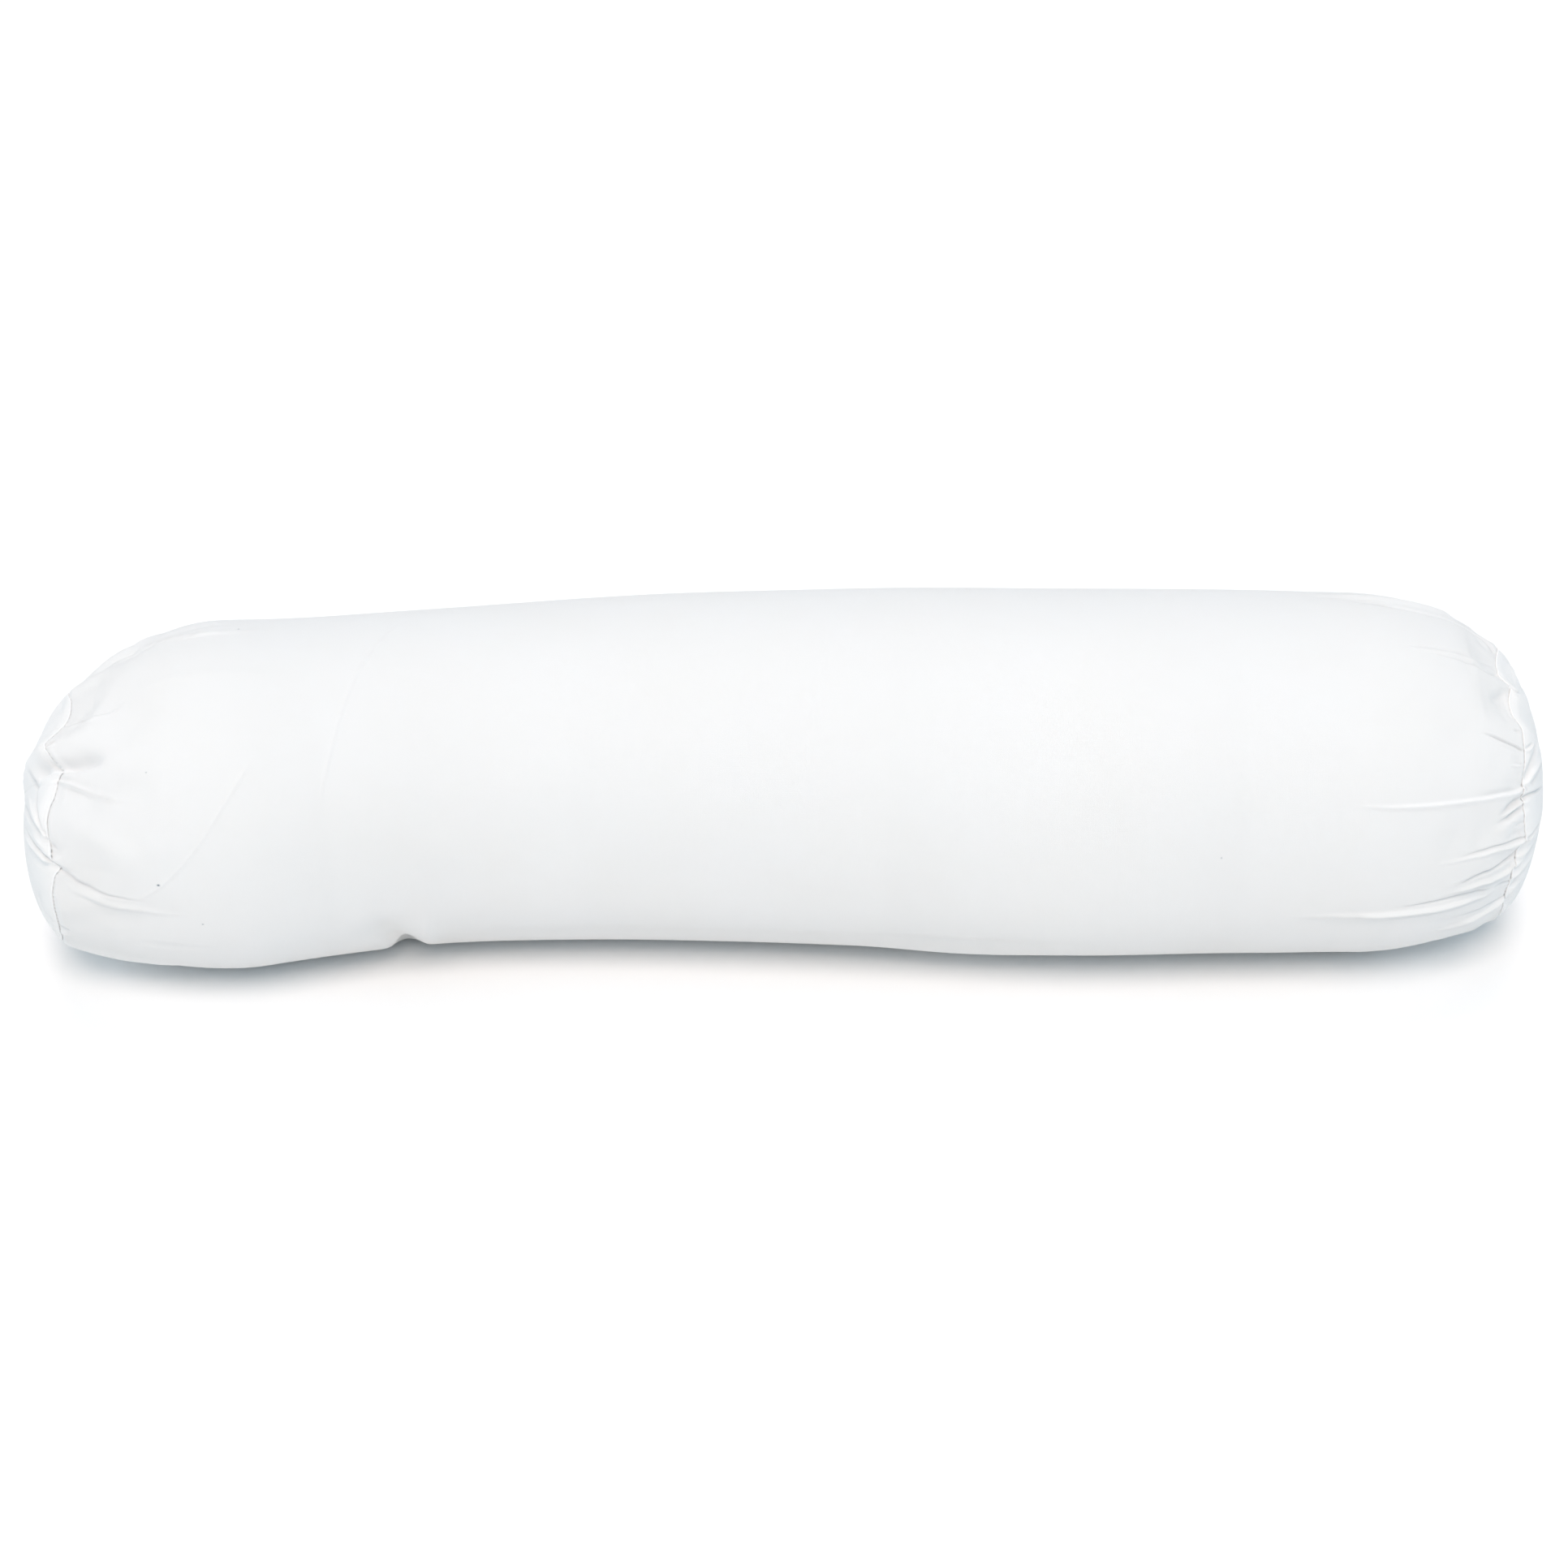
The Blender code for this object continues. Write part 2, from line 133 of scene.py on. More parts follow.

# ---------------------------------------------------------------- folds, placed one by one

# One row for each fold of the body at an end: its height in mm (a trough is negative), its
# width in mm, how much steeper its upper side is (from -1 to 1), and its line as places
# (inside in mm, clock).
LEFT_FOLDS = (
    # the long tuck, its overlapping edge and the roll below it
    (-1.3, 0.95, 0.0, (
        (0.0, 12.7), (0.0, 11.3), (0.5, 9.9), (4.7, 8.2), (9.3, 6.3), (13, 4.3), (18, 2.4),
        (23, 1.1), (28, 0.2), (33, -0.5), (38, -0.9), (43, -1.3), (52, -2.0),
    )),
    (1.5, 4.0, -0.3, ((1.7, 15.0), (4.5, 13.2), (5.5, 10.8), (10.1, 8.3), (17, 5.5), (23, 4.0))),
    (1.8, 2.6, 0.2, (
        (6.9, 3.0), (11.9, 0.7), (18, -1.1), (24, -2.5), (29, -4.2), (35, -4.8), (41, -5.0),
        (49, -5.8), (60, -6.2), (67, -6.5),
    )),
    (-0.9, 2.2, 0.0, ((13, -2.3), (19, -3.5), (25, -5.2), (31, -6.2), (38, -6.9), (46, -7.5))),
    (1.6, 8.0, 0.0, ((1.8, -4.5), (10.4, -11.8), (25, -16.1), (42, -18.2))),
    (-1.6, 5.0, 0.0, ((1.3, 20.0), (2.2, 17.4), (4.4, 15.2))),
    (-0.9, 0.9, 0.0, ((0.6, 22.2), (1.9, 20.4), (3.0, 19.0))),
    # the hollow inside the kink of the seam, and the small folds round it
    (-4.6, 5.6, -0.6, (
        (0.4, 56.3), (4.0, 55.3), (8.2, 54.6), (13, 54.3), (17, 54.0), (23, 53.2), (28, 51.5),
    )),
    (1.4, 2.0, 0.0, ((0.6, 53.7), (5.5, 51.9), (9.3, 50.4), (12, 49.0))),
    (-0.8, 1.4, 0.0, ((1.2, 51.0), (4.4, 49.5), (8.3, 47.9))),
    (2.1, 1.4, 0.0, (
        (1.1, 49.9), (4.7, 48.4), (9.1, 46.7), (14, 44.9), (20, 42.7), (24, 41.1), (29, 39.4),
        (33, 37.9), (38, 36.5),
    )),
    (-0.6, 2.5, 0.0, ((11.1, 46.8), (17, 44.6), (23, 42.5), (28, 40.4))),
    (-0.7, 1.5, 0.0, ((5.1, 46.7), (11.6, 44.5), (19, 41.7), (25, 39.4))),
    (-1.8, 1.3, 0.0, ((1.0, 68.1), (2.5, 68.4), (4.1, 69.2), (6.0, 69.9))),
    (1.0, 1.3, 0.0, ((1.6, 66.8), (3.7, 67.3), (6.2, 67.8))),
    (-0.8, 0.8, 0.0, (
        (0.7, 79.8), (9.6, 78.8), (21, 75.7), (27, 75.3), (31, 75.3), (35, 75.4), (38, 76.2),
        (41, 77.3), (45, 78.9),
    )),
    (0.7, 1.5, 0.0, ((5.2, 77.4), (10.7, 77.5), (22, 74.3), (28, 74.3), (34, 74.1), (38, 74.7))),
    (-1.8, 1.2, 0.0, ((1.9, -26.9), (3.9, -26.0), (5.6, -26.2), (7.2, -27.0))),
    (1.2, 2.0, 0.0, ((0.7, -34.0), (4.8, -31.3), (7.9, -32.6))),
    # the ridges along the top, which make the outline there
    (1.8, 2.0, -0.2, ((50, 109), (63, 106), (80, 103), (100, 100), (118, 100.5), (136, 102))),
    (-2.2, 6.0, 0.0, ((40, 117), (80, 111), (115, 109))),
    (2.8, 10.0, 0.0, ((0, 103), (20, 105), (50, 112))),
    (-2.0, 2.2, 0.2, (
        (21, 107.2), (25, 110.0), (26, 117.5), (31, 118.0), (37, 117.5), (43, 119.5), (50, 115.5),
        (55, 112.5),
    )),
    (-0.8, 0.8, 0.0, (
        (27, 106.5), (34, 105.5), (40, 105.0), (46, 105.0), (53, 104.4), (59, 103.8), (65, 104.5),
        (71, 103.4), (79, 101.4),
    )),
    (0.9, 1.4, 0.0, (
        (29, 109.5), (35, 109.0), (41, 107.7), (48, 107.5), (54, 106.9), (60, 106.2), (66, 105.5),
    )),
    (-0.7, 0.8, 0.0, ((9.9, 110.5), (14, 109.7), (18, 108.1), (21, 107.2))),
    (4.6, 9.0, 0.0, ((0, 131), (25, 128), (45, 126), (72, 122))),
    (-1.0, 6.0, 0.0, ((4, 119), (30, 121), (52, 119))),
    (0.5, 5.0, 0.0, ((62, 80), (105, 77), (146, 75))),
    # low on the front
    (-0.7, 3.5, 0.0, ((42, -25), (60, -24), (85, -24))),
    # the hidden side
    (-4.0, 7.0, 0.2, ((0, 140), (30, 139), (75, 137))),
    (3.0, 6.0, 0.0, ((0, 152), (40, 154), (80, 155))),
    (3.2, 6.0, 0.2, ((0, 170), (40, 172), (92, 173))),
    (-2.6, 4.0, 0.0, ((0, 182), (30, 183), (62, 184))),
    (-4.2, 6.0, -0.2, ((0, 198), (30, 197), (66, 195))),
    (3.0, 5.0, 0.0, ((0, 212), (30, 211), (60, 209))),
    (3.2, 6.5, 0.0, ((0, 232), (35, 229), (78, 226))),
    (-3.2, 5.0, 0.0, ((0, 250), (25, 248), (52, 247))),
    (2.6, 5.0, 0.0, ((0, 284), (30, 286), (60, 288))),
    (-3.0, 5.0, 0.0, ((0, 298), (30, 300), (52, 303))),
    (3.0, 5.5, 0.0, ((0, 312), (30, 314), (70, 318))),
)
RIGHT_FOLDS = (
    # the band along the top between two sharp lines
    (2.4, 4.0, 0.3, ((16, 113), (30, 112), (60, 109), (90, 108), (120, 111), (145, 113))),
    (-1.8, 2.5, 0.0, ((8, 122), (40, 118), (80, 116), (112, 118))),
    (-1.4, 4.0, 0.0, ((2, 96), (10, 97), (20, 99))),
    (-1.9, 1.6, 0.0, (
        (3, 98), (10, 101), (17, 103), (26, 104), (43, 103.6), (60, 102.0), (75, 101.8), (91, 102.9),
        (113, 106.9), (136, 109),
    )),
    # the line that crosses the seam high on the front, and the short ones below it
    (1.2, 1.8, 0.0, (
        (0.2, 86.2), (10.4, 83.9), (25, 80.9), (34, 80.0), (41, 79.8), (45, 79.6), (53, 79.5),
        (58, 79.1), (64, 78.6), (70, 78.2), (75, 78.0),
    )),
    (-1.0, 0.9, 0.0, (
        (1.2, 83.4), (11.0, 80.0), (20, 78.4), (27, 78.6), (35, 78.1), (41, 78.3), (46, 78.0),
        (53, 77.9), (59, 77.5), (64, 77.5),
    )),
    (-0.9, 1.2, 0.0, (
        (31, 83.0), (40, 82.1), (45, 81.2), (52, 80.7), (61, 80.0), (69, 79.4), (78, 78.8),
    )),
    (-2.3, 4.8, 0.2, ((0.8, 74.4), (3.3, 72.2), (6.8, 69.6), (13, 66.9), (18, 65.7))),
    (-0.6, 0.7, 0.0, ((2.3, 54.9), (4.6, 54.7), (8.0, 54.2))),
    (-1.6, 0.75, 0.35, (
        (2.8, 47.0), (6.9, 47.7), (11.5, 48.3), (17, 49.0), (22, 49.7), (27, 50.2), (31, 50.4),
    )),
    (0.7, 1.6, 0.0, ((4.7, 46.1), (11.7, 47.1), (19, 48.0), (25, 49.0))),
    (-0.6, 3.0, 0.0, ((3.2, 42.6), (7.4, 42.5), (11.1, 42.5))),
    (-0.5, 0.8, 0.0, ((3.0, 41.1), (6.6, 40.9), (11.0, 40.7))),
    (0.7, 1.2, 0.0, ((3.4, 40.3), (7.1, 40.0), (11.5, 39.9))),
    (-0.35, 1.6, 0.0, ((3.1, 37.1), (6.3, 37.2))),
    # the long ridge at mid height and the short folds below it
    (2.0, 1.7, 0.3, (
        (0.0, 31.1), (3.7, 29.8), (9.5, 28.9), (17, 28.6), (23, 28.0), (34, 27.0), (46, 26.3),
        (58, 25.6), (69, 25.1), (80, 24.8), (93, 24.5), (107, 24.7), (116, 25.1),
    )),
    (-1.3, 2.4, 0.0, ((4.9, 31.1), (14, 29.9), (24, 29.1), (35, 28.2))),
    (-2.4, 1.7, 0.0, ((0.0, 27.5), (2.8, 26.6), (5.9, 25.8), (9.8, 24.3), (15, 22.5), (19, 20.4))),
    (1.6, 1.2, 0.0, ((0.6, 25.4), (4.3, 24.1), (8.2, 22.8), (13, 21.4), (17, 19.9))),
    (-2.2, 1.5, 0.0, ((1.8, 23.0), (4.7, 22.3), (8.5, 21.2), (12, 20.0), (16, 18.9), (20, 17.5))),
    (1.5, 3.0, 0.0, ((1.5, 20.4), (6.0, 19.1), (11.1, 17.8), (16, 15.8), (22, 13.8))),
    (-1.0, 1.2, 0.0, ((1.4, 17.0), (4.7, 16.8), (8.3, 15.9))),
    (-1.0, 2.4, 0.0, ((1.6, 13.5), (7.9, 12.8), (16, 10.9))),
    # the stack of folds below
    (-1.6, 1.2, 0.2, (
        (1.1, 10.3), (4.3, 10.2), (9.0, 9.8), (16, 9.1), (22, 8.8), (29, 8.0), (39, 7.1), (49, 6.0),
    )),
    (1.9, 1.6, 0.2, (
        (0.8, 9.0), (6.1, 8.3), (13, 7.9), (21, 7.7), (28, 7.0), (37, 6.5), (49, 5.6), (60, 4.7),
    )),
    (-2.4, 1.2, 0.0, (
        (0.0, 7.0), (0.2, 4.9), (2.3, 2.2), (8.2, 0.2), (16, -1.2), (26, -1.8), (36, -3.0),
        (44, -4.5), (48, -5.5),
    )),
    (3.0, 1.9, 0.2, (
        (0.0, -2.4), (1.5, -4.4), (6.4, -5.6), (15, -5.7), (25, -5.9), (37, -6.3), (46, -7.3),
        (52, -8.1),
    )),
    (-1.9, 1.0, 0.0, (
        (0.0, -4.5), (2.8, -6.6), (8.8, -7.4), (17, -7.2), (29, -6.9), (38, -7.3), (47, -8.0),
    )),
    (0.7, 0.9, 0.0, ((15, -9.2), (24, -9.1), (35, -8.3), (44, -8.5))),
    (-1.7, 1.15, 0.0, (
        (15, -10.7), (23, -10.2), (33, -9.4), (42, -9.5), (51, -10.1), (60, -10.4), (70, -10.9),
        (83, -11.3),
    )),
    (3.0, 2.3, 0.3, (
        (15, -13.1), (23, -13.3), (35, -12.8), (45, -13.2), (56, -13.5), (69, -13.5), (86, -13.8),
        (102, -14.4), (118, -15.0), (134, -15.1), (151, -14.5),
    )),
    (-0.9, 1.3, 0.0, (
        (13, -14.7), (20, -15.2), (31, -14.8), (42, -15.3), (53, -15.9), (66, -15.9), (82, -16.0),
        (99, -16.1), (115, -16.6),
    )),
    (-1.6, 1.1, 0.0, ((0.0, -12.7), (4.2, -11.7), (9.5, -11.1), (14, -11.2))),
    (-1.5, 1.1, 0.0, (
        (2.0, -23.4), (8.6, -22.6), (17, -21.7), (27, -21.9), (36, -21.8), (42, -22.0),
    )),
    (3.0, 1.8, 0.2, (
        (1.3, -24.3), (5.7, -25.0), (12, -25.1), (21, -25.6), (30, -26.2), (39, -27.8), (46, -28.5),
        (53, -28.3),
    )),
    (-2.2, 1.5, 0.0, (
        (1.9, -26.7), (7.9, -28.5), (16, -30.4), (26, -30.4), (37, -30.9), (47, -30.5),
    )),
    (1.0, 1.2, 0.0, ((2.1, -32.1), (5.7, -34.5), (9.0, -37.1))),
    (-0.9, 3.0, 0.0, ((36, -24.3), (48, -22.1), (58, -19.9))),
    # the hidden side
    (-4.2, 6.5, 0.2, ((0, 146), (40, 148), (86, 150))),
    (3.0, 5.0, 0.0, ((0, 160), (35, 161), (70, 163))),
    (3.4, 6.0, -0.2, ((0, 178), (40, 175), (96, 172))),
    (-3.0, 4.0, 0.0, ((0, 192), (30, 190), (58, 188))),
    (-4.0, 6.0, 0.0, ((0, 212), (35, 214), (70, 216))),
    (3.0, 5.5, 0.0, ((0, 230), (30, 231), (56, 233))),
    (3.0, 6.0, 0.0, ((0, 248), (35, 246), (80, 244))),
    (-3.4, 5.0, 0.0, ((0, 284), (30, 286), (62, 290))),
    (2.8, 5.0, 0.0, ((0, 300), (30, 303), (64, 307))),
)
FOLDS = {"left": LEFT_FOLDS, "right": RIGHT_FOLDS}
FOLD_AT_SEAM = 0.65  # share of a fold's height that the stitches leave at the seam
FOLD_RISE = 5.0 * MM  # distance from the seam at which a fold has its full height
HOLLOW_SHADE_GAIN = 0.5  # painted shade in the colour of a trough as deep as it is wide
FOLDS_REACH = 0.200  # further from an end seam than any fold of the body goes
SEAM_START = 3  # a fold that starts within this many mm of its seam doesn't fade there
START_FADE = 0.3  # share of its length over which any other fold rises from its start
START_RISEN = 0.05  # how much of that rise is there at once
END_FADE = 0.5  # share of its length over which a fold sinks to nothing at its end
END_WIDTH = 0.45  # share of its width that it still has where it has faded
FOLD_SPREAD = 3  # widths from its line within which a fold is worked out

# The same for each fold of an end panel, with its line as places (share of the panel's
# radius, clock).
LEFT_PANEL_FOLDS = (
    # the curved edge that leaves the kink of the seam and comes back to it lower down
    (2.4, 2.2, 0.0, (
        (1.00, 54.1), (0.98, 54.3), (0.95, 54.2), (0.91, 53.5), (0.88, 52.2), (0.85, 50.5),
    )),
    (-4.4, 5.2, 0.6, ((1.00, 55.9), (0.97, 56.0), (0.93, 55.8), (0.87, 54.8), (0.81, 53.4))),
    (-1.6, 0.9, 0.0, (
        (0.88, 51.3), (0.83, 49.4), (0.83, 45.3), (0.86, 40.7), (0.92, 35.7), (0.96, 31.5),
        (0.98, 28.3), (1.00, 25.5), (1.00, 23.5),
    )),
    (0.9, 4.0, 0.0, ((0.99, 49.6), (0.96, 47.2), (0.95, 42.3), (0.97, 36.5), (1.00, 31.1))),
    (-1.5, 1.1, 0.0, ((0.71, 66.4), (0.73, 60.9), (0.73, 55.8), (0.82, 49.7))),
    (1.0, 0.9, 0.0, ((0.76, 68.0), (0.76, 63.0), (0.76, 58.0), (0.80, 52.9))),
    (-1.3, 1.0, 0.0, ((0.66, 69.0), (0.56, 68.3), (0.58, 60.9), (0.59, 56.1))),
    (1.5, 1.5, 0.0, (
        (0.46, 60.6), (0.59, 47.4), (0.78, 38.8), (0.90, 33.2), (0.97, 28.9), (0.99, 25.5),
    )),
    (-2.0, 1.9, 0.0, ((0.24, 69.0), (0.47, 40.9), (0.73, 33.0), (0.86, 29.2), (0.94, 25.9))),
    # the tuck and what lies below it
    (-2.2, 0.95, 0.0, (
        (0.51, 23.6), (0.66, 21.8), (0.77, 20.0), (0.87, 18.0), (0.95, 16.1), (0.99, 14.1),
        (1.00, 13.1),
    )),
    (1.4, 1.4, 0.0, ((0.52, 17.9), (0.68, 17.0), (0.80, 16.2), (0.90, 15.2), (0.97, 13.3))),
    (1.5, 2.2, 0.0, ((0.83, 24.9), (0.93, 21.8), (0.98, 19.1), (1.00, 17.2))),
    (-1.0, 3.0, 0.0, ((0.93, -4.2), (0.86, -14.8), (0.89, -22.5), (0.95, -25.2))),
    # high on the dome
    (3.0, 11.0, 0.0, ((0.76, 86), (0.70, 76), (0.62, 68), (0.53, 62), (0.44, 54), (0.34, 40))),
    (-1.8, 6.5, 0.0, ((0.92, 105), (0.87, 102), (0.82, 99))),
    # the hidden side
    (2.0, 4.5, 0.0, ((0.45, 136), (0.70, 136), (0.98, 136))),
    (-1.8, 4.5, 0.0, ((0.40, 172), (0.70, 168), (0.98, 166))),
    (2.0, 5.0, 0.0, ((0.45, 196), (0.70, 198), (0.98, 198))),
    (-1.8, 5.0, 0.0, ((0.45, 236), (0.70, 232), (0.98, 230))),
    (1.8, 4.5, 0.0, ((0.50, 268), (0.75, 268), (0.98, 267))),
    (-1.6, 4.5, 0.0, ((0.50, 306), (0.75, 302), (0.98, 298))),
)
RIGHT_PANEL_FOLDS = (
    # the streak from the long ridge, with a hollow on each side, and the line under it
    (1.6, 1.6, 0.0, (
        (1.00, 32.5), (0.97, 34.4), (0.94, 37.2), (0.87, 40.7), (0.76, 45.5), (0.67, 51),
    )),
    (-2.4, 2.4, 0.0, ((0.99, 36.5), (0.97, 39.2), (0.94, 42.9), (0.86, 49), (0.78, 56), (0.70, 64))),
    (-1.4, 1.3, 0.0, ((0.92, 33.2), (0.85, 36.1), (0.70, 40.7), (0.48, 50.5))),
    (1.1, 1.0, 0.0, ((1.00, 46.9), (0.99, 47.0), (0.97, 47.8), (0.94, 49.5), (0.90, 52.4))),
    (-1.0, 0.9, 0.0, ((1.00, 47.8), (0.99, 48.3), (0.96, 49.6), (0.92, 51.6))),
    (-1.9, 1.1, 0.0, (
        (1.00, 27.1), (0.99, 27.7), (0.98, 28.1), (0.94, 28.6), (0.83, 28.8), (0.55, 28),
    )),
    (-1.2, 0.8, 0.0, ((1.00, 32.0), (0.99, 31.1), (0.98, 29.7))),
    # high on the dome
    (-2.4, 2.0, 0.0, ((0.84, 117.6), (0.79, 113.5), (0.76, 107.4), (0.75, 97.6), (0.74, 94.0))),
    (1.2, 1.6, 0.0, ((0.89, 102.0), (0.86, 97.1), (0.84, 92.8), (0.83, 87.6))),
    (-1.4, 0.9, 0.0, ((1.00, 78.2), (1.00, 77.5), (0.99, 76.8), (0.85, 83.0), (0.79, 87.1))),
    (1.2, 1.4, 0.0, ((1.00, 75.7), (0.99, 74.3), (0.96, 73.8))),
    (-1.8, 3.0, 0.0, ((1.00, 116.5), (0.99, 109.1), (0.98, 100.6))),
    (1.2, 9.0, 0.0, ((0.86, 99), (0.75, 99), (0.50, 99))),
    # the lines that go on from the stack of folds
    (-1.6, 1.2, 0.0, ((1.00, 7.5), (0.98, 9.4), (0.93, 10.5), (0.83, 10.8), (0.62, 10))),
    (1.6, 1.8, 0.0, ((0.98, 1.0), (0.92, 2.2), (0.82, 2.2), (0.62, 0))),
    (-1.6, 1.5, 0.0, ((0.98, -5), (0.93, -3), (0.83, -3.8), (0.64, -8))),
    (1.3, 1.8, 0.0, ((0.99, -10), (0.95, -8.3), (0.87, -8), (0.70, -11))),
    (-1.6, 1.6, 0.0, ((0.98, -16.9), (0.96, -13), (0.90, -12), (0.74, -15))),
    (1.3, 2.0, 0.0, ((0.99, -22), (0.96, -18.3), (0.90, -17.5), (0.78, -20))),
    (-1.5, 2.0, 0.0, ((1.00, -30.4), (0.97, -24.3), (0.92, -23), (0.80, -26))),
    # the hidden side
    (-2.0, 4.5, 0.0, ((0.45, 126), (0.70, 124), (0.98, 122))),
    (2.2, 4.5, 0.0, ((0.45, 148), (0.70, 147), (0.98, 146))),
    (-1.8, 4.5, 0.0, ((0.45, 180), (0.70, 179), (0.98, 178))),
    (2.0, 5.0, 0.0, ((0.45, 216), (0.70, 214), (0.98, 212))),
    (-1.8, 4.5, 0.0, ((0.45, 250), (0.70, 249), (0.98, 248))),
    (1.8, 4.5, 0.0, ((0.50, 286), (0.75, 285), (0.98, 284))),
)
PANEL_FOLDS = {"left": LEFT_PANEL_FOLDS, "right": RIGHT_PANEL_FOLDS}

# One row for each soft hollow or lump in the filling of the body: its place along the
# pillow in mm, its clock, its length and width in mm, and its height in mm. The first two
# lie at the tops of the end seams, where the gathers push the seams up.
LUMPS = (
    (470, 101, 17, 20, 5.5),
    (-470, 102, 16, 16, 2.6),
    (-249, -30, 7, 20, 3.0),
    (-268, -6, 16, 30, -0.9),
    (-236, 9, 22, 16, 0.9),
    (-163, 33, 30, 22, 0.7),
    (-139, 14, 26, 18, -0.8),
    (-60, -2, 60, 22, -0.9),
    (40, 5, 55, 24, 0.8),
    (115, -44, 55, 7, 2.6),
    (120, -33, 60, 6, -1.8),
    (-120, -34, 70, 9, -1.6),
    (10, -36, 60, 10, -1.8),
    (250, 40, 60, 40, 0.8),
    (-330, 20, 60, 40, 0.8),
    (-90, 120, 70, 36, 1.0),
    (160, 150, 60, 40, -1.2),
    (-220, 170, 50, 36, 1.2),
    (40, 190, 70, 40, 1.2),
    (300, 200, 50, 36, -1.0),
    (-60, 235, 60, 24, -1.6),
    (200, 228, 50, 22, 1.6),
    (-280, 225, 40, 22, -1.6),
)

# The same for where the cloth is pinched and stands off the surface that it lies on.
PINCHES = (
    (-263, -50, 8, 20, -13.0),
    (-271, -35, 10, 13, -5.0),
    (-281, -26, 12, 14, -4.5),
)
PINCH_STRETCH = (-0.300, -0.235)  # along the pillow, made more finely
PINCH_STEP = 3.2 * MM

# ---------------------------------------------------------------- how finely the cloth is made

END_AROUND = 768  # points round the pillow near its ends
MIDDLE_AROUND = 384
END_STRETCH = 0.105  # length of the finely made stretch at each end
FIRST_STEP = 0.3 * MM  # between the rows next to a seam
STEP_GROWTH = 0.095  # how fast that distance grows
MIDDLE_STEP = 9.0 * MM
PANEL_FIRST_STEP = 0.22 * MM
PANEL_STEP_GROWTH = 0.085
PANEL_AROUND = ((0.50, 768), (0.26, 384), (0.13, 192), (0.0, 96))  # points round, from a share
PANEL_INNERMOST = 0.985  # share of the way in at which the last ring lies
PANEL_SAMPLES = 2000  # places at which the length of a panel's cloth is measured
FRONT_CLOCK = math.radians(33)  # the side of the pillow that is made most finely
UNDER_CLOCK = math.radians(-118)  # where each row of points starts, out of sight
CLOSER = 0.5  # share by which the points draw together on the front
LINE_POINTS = 90  # along each fold's line

# ---------------------------------------------------------------- seams

SEAM_DEPTH = 1.0 * MM  # of the groove between two stitches that stand fully open
CLOSED_DEPTH = 0.07 * MM  # and where they are drawn tight
SEAM_WIDTH = 0.55 * MM  # of the groove, on the body's side
PANEL_SEAM_WIDTH = 0.3 * MM  # and on the panel's side
EDGE_HEIGHT = 0.5 * MM  # of the doubled edge of the panel, which stands up beside the groove
EDGE_PLACE = 0.75 * MM
EDGE_WIDTH = 0.5 * MM
PANEL_GAP = 0.06 * MM  # between the body and an end panel, at the bottom of the groove
STITCH_PITCH = 3.7 * MM
THREAD_RADIUS = 0.22 * MM
THREAD_SPACING = 0.62 * MM  # between the two threads of a stitch
STITCH_LENGTH = 0.7 * MM  # of its straight part, across the groove
STITCH_DEPTH = 0.2 * MM  # of its middle, under the cloth beside the groove
THREAD_SIDES = 8
# The two steps in which each end of a stitch dives into the cloth: how far out and how far
# down, both over the thread's radius, and the share of its thickness that it keeps.
STITCH_DIVES = ((0.8, 0.7, 0.9), (0.45, 1.8, 0.75))
END_FACING = 0.9  # least part of a face's normal along the stitch that makes it an end


def column(table, names, name):
    """One column of a table, as an array."""
    return np.array([row[names.index(name)] for row in table])


def smooth_between(at, places, values):
    """A smooth curve through the values, with each slope taken from its neighbours."""
    slopes = np.gradient(values, places)
    after = np.clip(np.searchsorted(places, at), 1, len(places) - 1)
    before = after - 1
    gap = places[after] - places[before]
    share = (at - places[before]) / gap
    rise = values[after] - values[before]
    ease = share * share * (3 - 2 * share)
    lead = share * (1 - share) * (1 - share) * gap * slopes[before]
    trail = share * share * (1 - share) * gap * slopes[after]
    return values[before] + ease * rise + lead - trail


def eased(share):
    """0 at 0 and below, 1 at 1 and above, and smooth between."""
    share = np.clip(share, 0, 1)
    return share * share * (3 - 2 * share)


def bell(distance, width):
    """1 at a distance of 0, fading to nothing within a few widths."""
    return np.exp(-((distance / width) ** 2))


# ---------------------------------------------------------------- the plain form


def of_section(along, name):
    """A size of the section at each place along the pillow."""
    places = column(SECTIONS, SECTION_COLUMNS, "along")
    return smooth_between(along, places, column(SECTIONS, SECTION_COLUMNS, name))


def by_end(along, sizes):
    """The size that holds at each place, from a pair given for the two ends."""
    return np.where(along < 0, sizes["left"], sizes["right"])


def side_of(end):
    """The sign of X at an end."""
    return -1 if end == "left" else 1


def drawn_in(along):
    """1 on the full stretch of the pillow, easing to 0 at the end seams."""
    inside = (SEAM_REACH - np.abs(along)) / by_end(along, TAPER_REACH)
    return 1 - (1 - np.clip(inside, 0, 1)) ** by_end(along, TAPER_ROUNDNESS)


def turned_between(clock, middle):
    """The angle from one clock to another, in radians, the short way round."""
    return (clock - middle + math.pi) % (2 * math.pi) - math.pi


def round_the_seam(table, names, clock):
    """What a table gives at each clock of a seam, with its corners rounded a little."""
    places = np.radians(column(table, names, names[0]))
    sizes = column(table, names, names[1])
    turns = np.linspace(-1, 1, CORNER_SAMPLES) * CORNER_ROUNDING
    at_turns = [np.interp(clock + turn, places, sizes, period=2 * math.pi) for turn in turns]
    return np.mean(at_turns, axis=0)


def seam_pull(along, clock):
    """How far the gathers draw the cloth in from a plain end."""
    near = np.clip(1 - (SEAM_REACH - np.abs(along)) / PULL_REACH, 0, 1)
    pull = {end: round_the_seam(table, PULL_COLUMNS, clock) for end, table in SEAM_PULLS.items()}
    return by_end(along, pull) * MM * near * near * (3 - 2 * near)


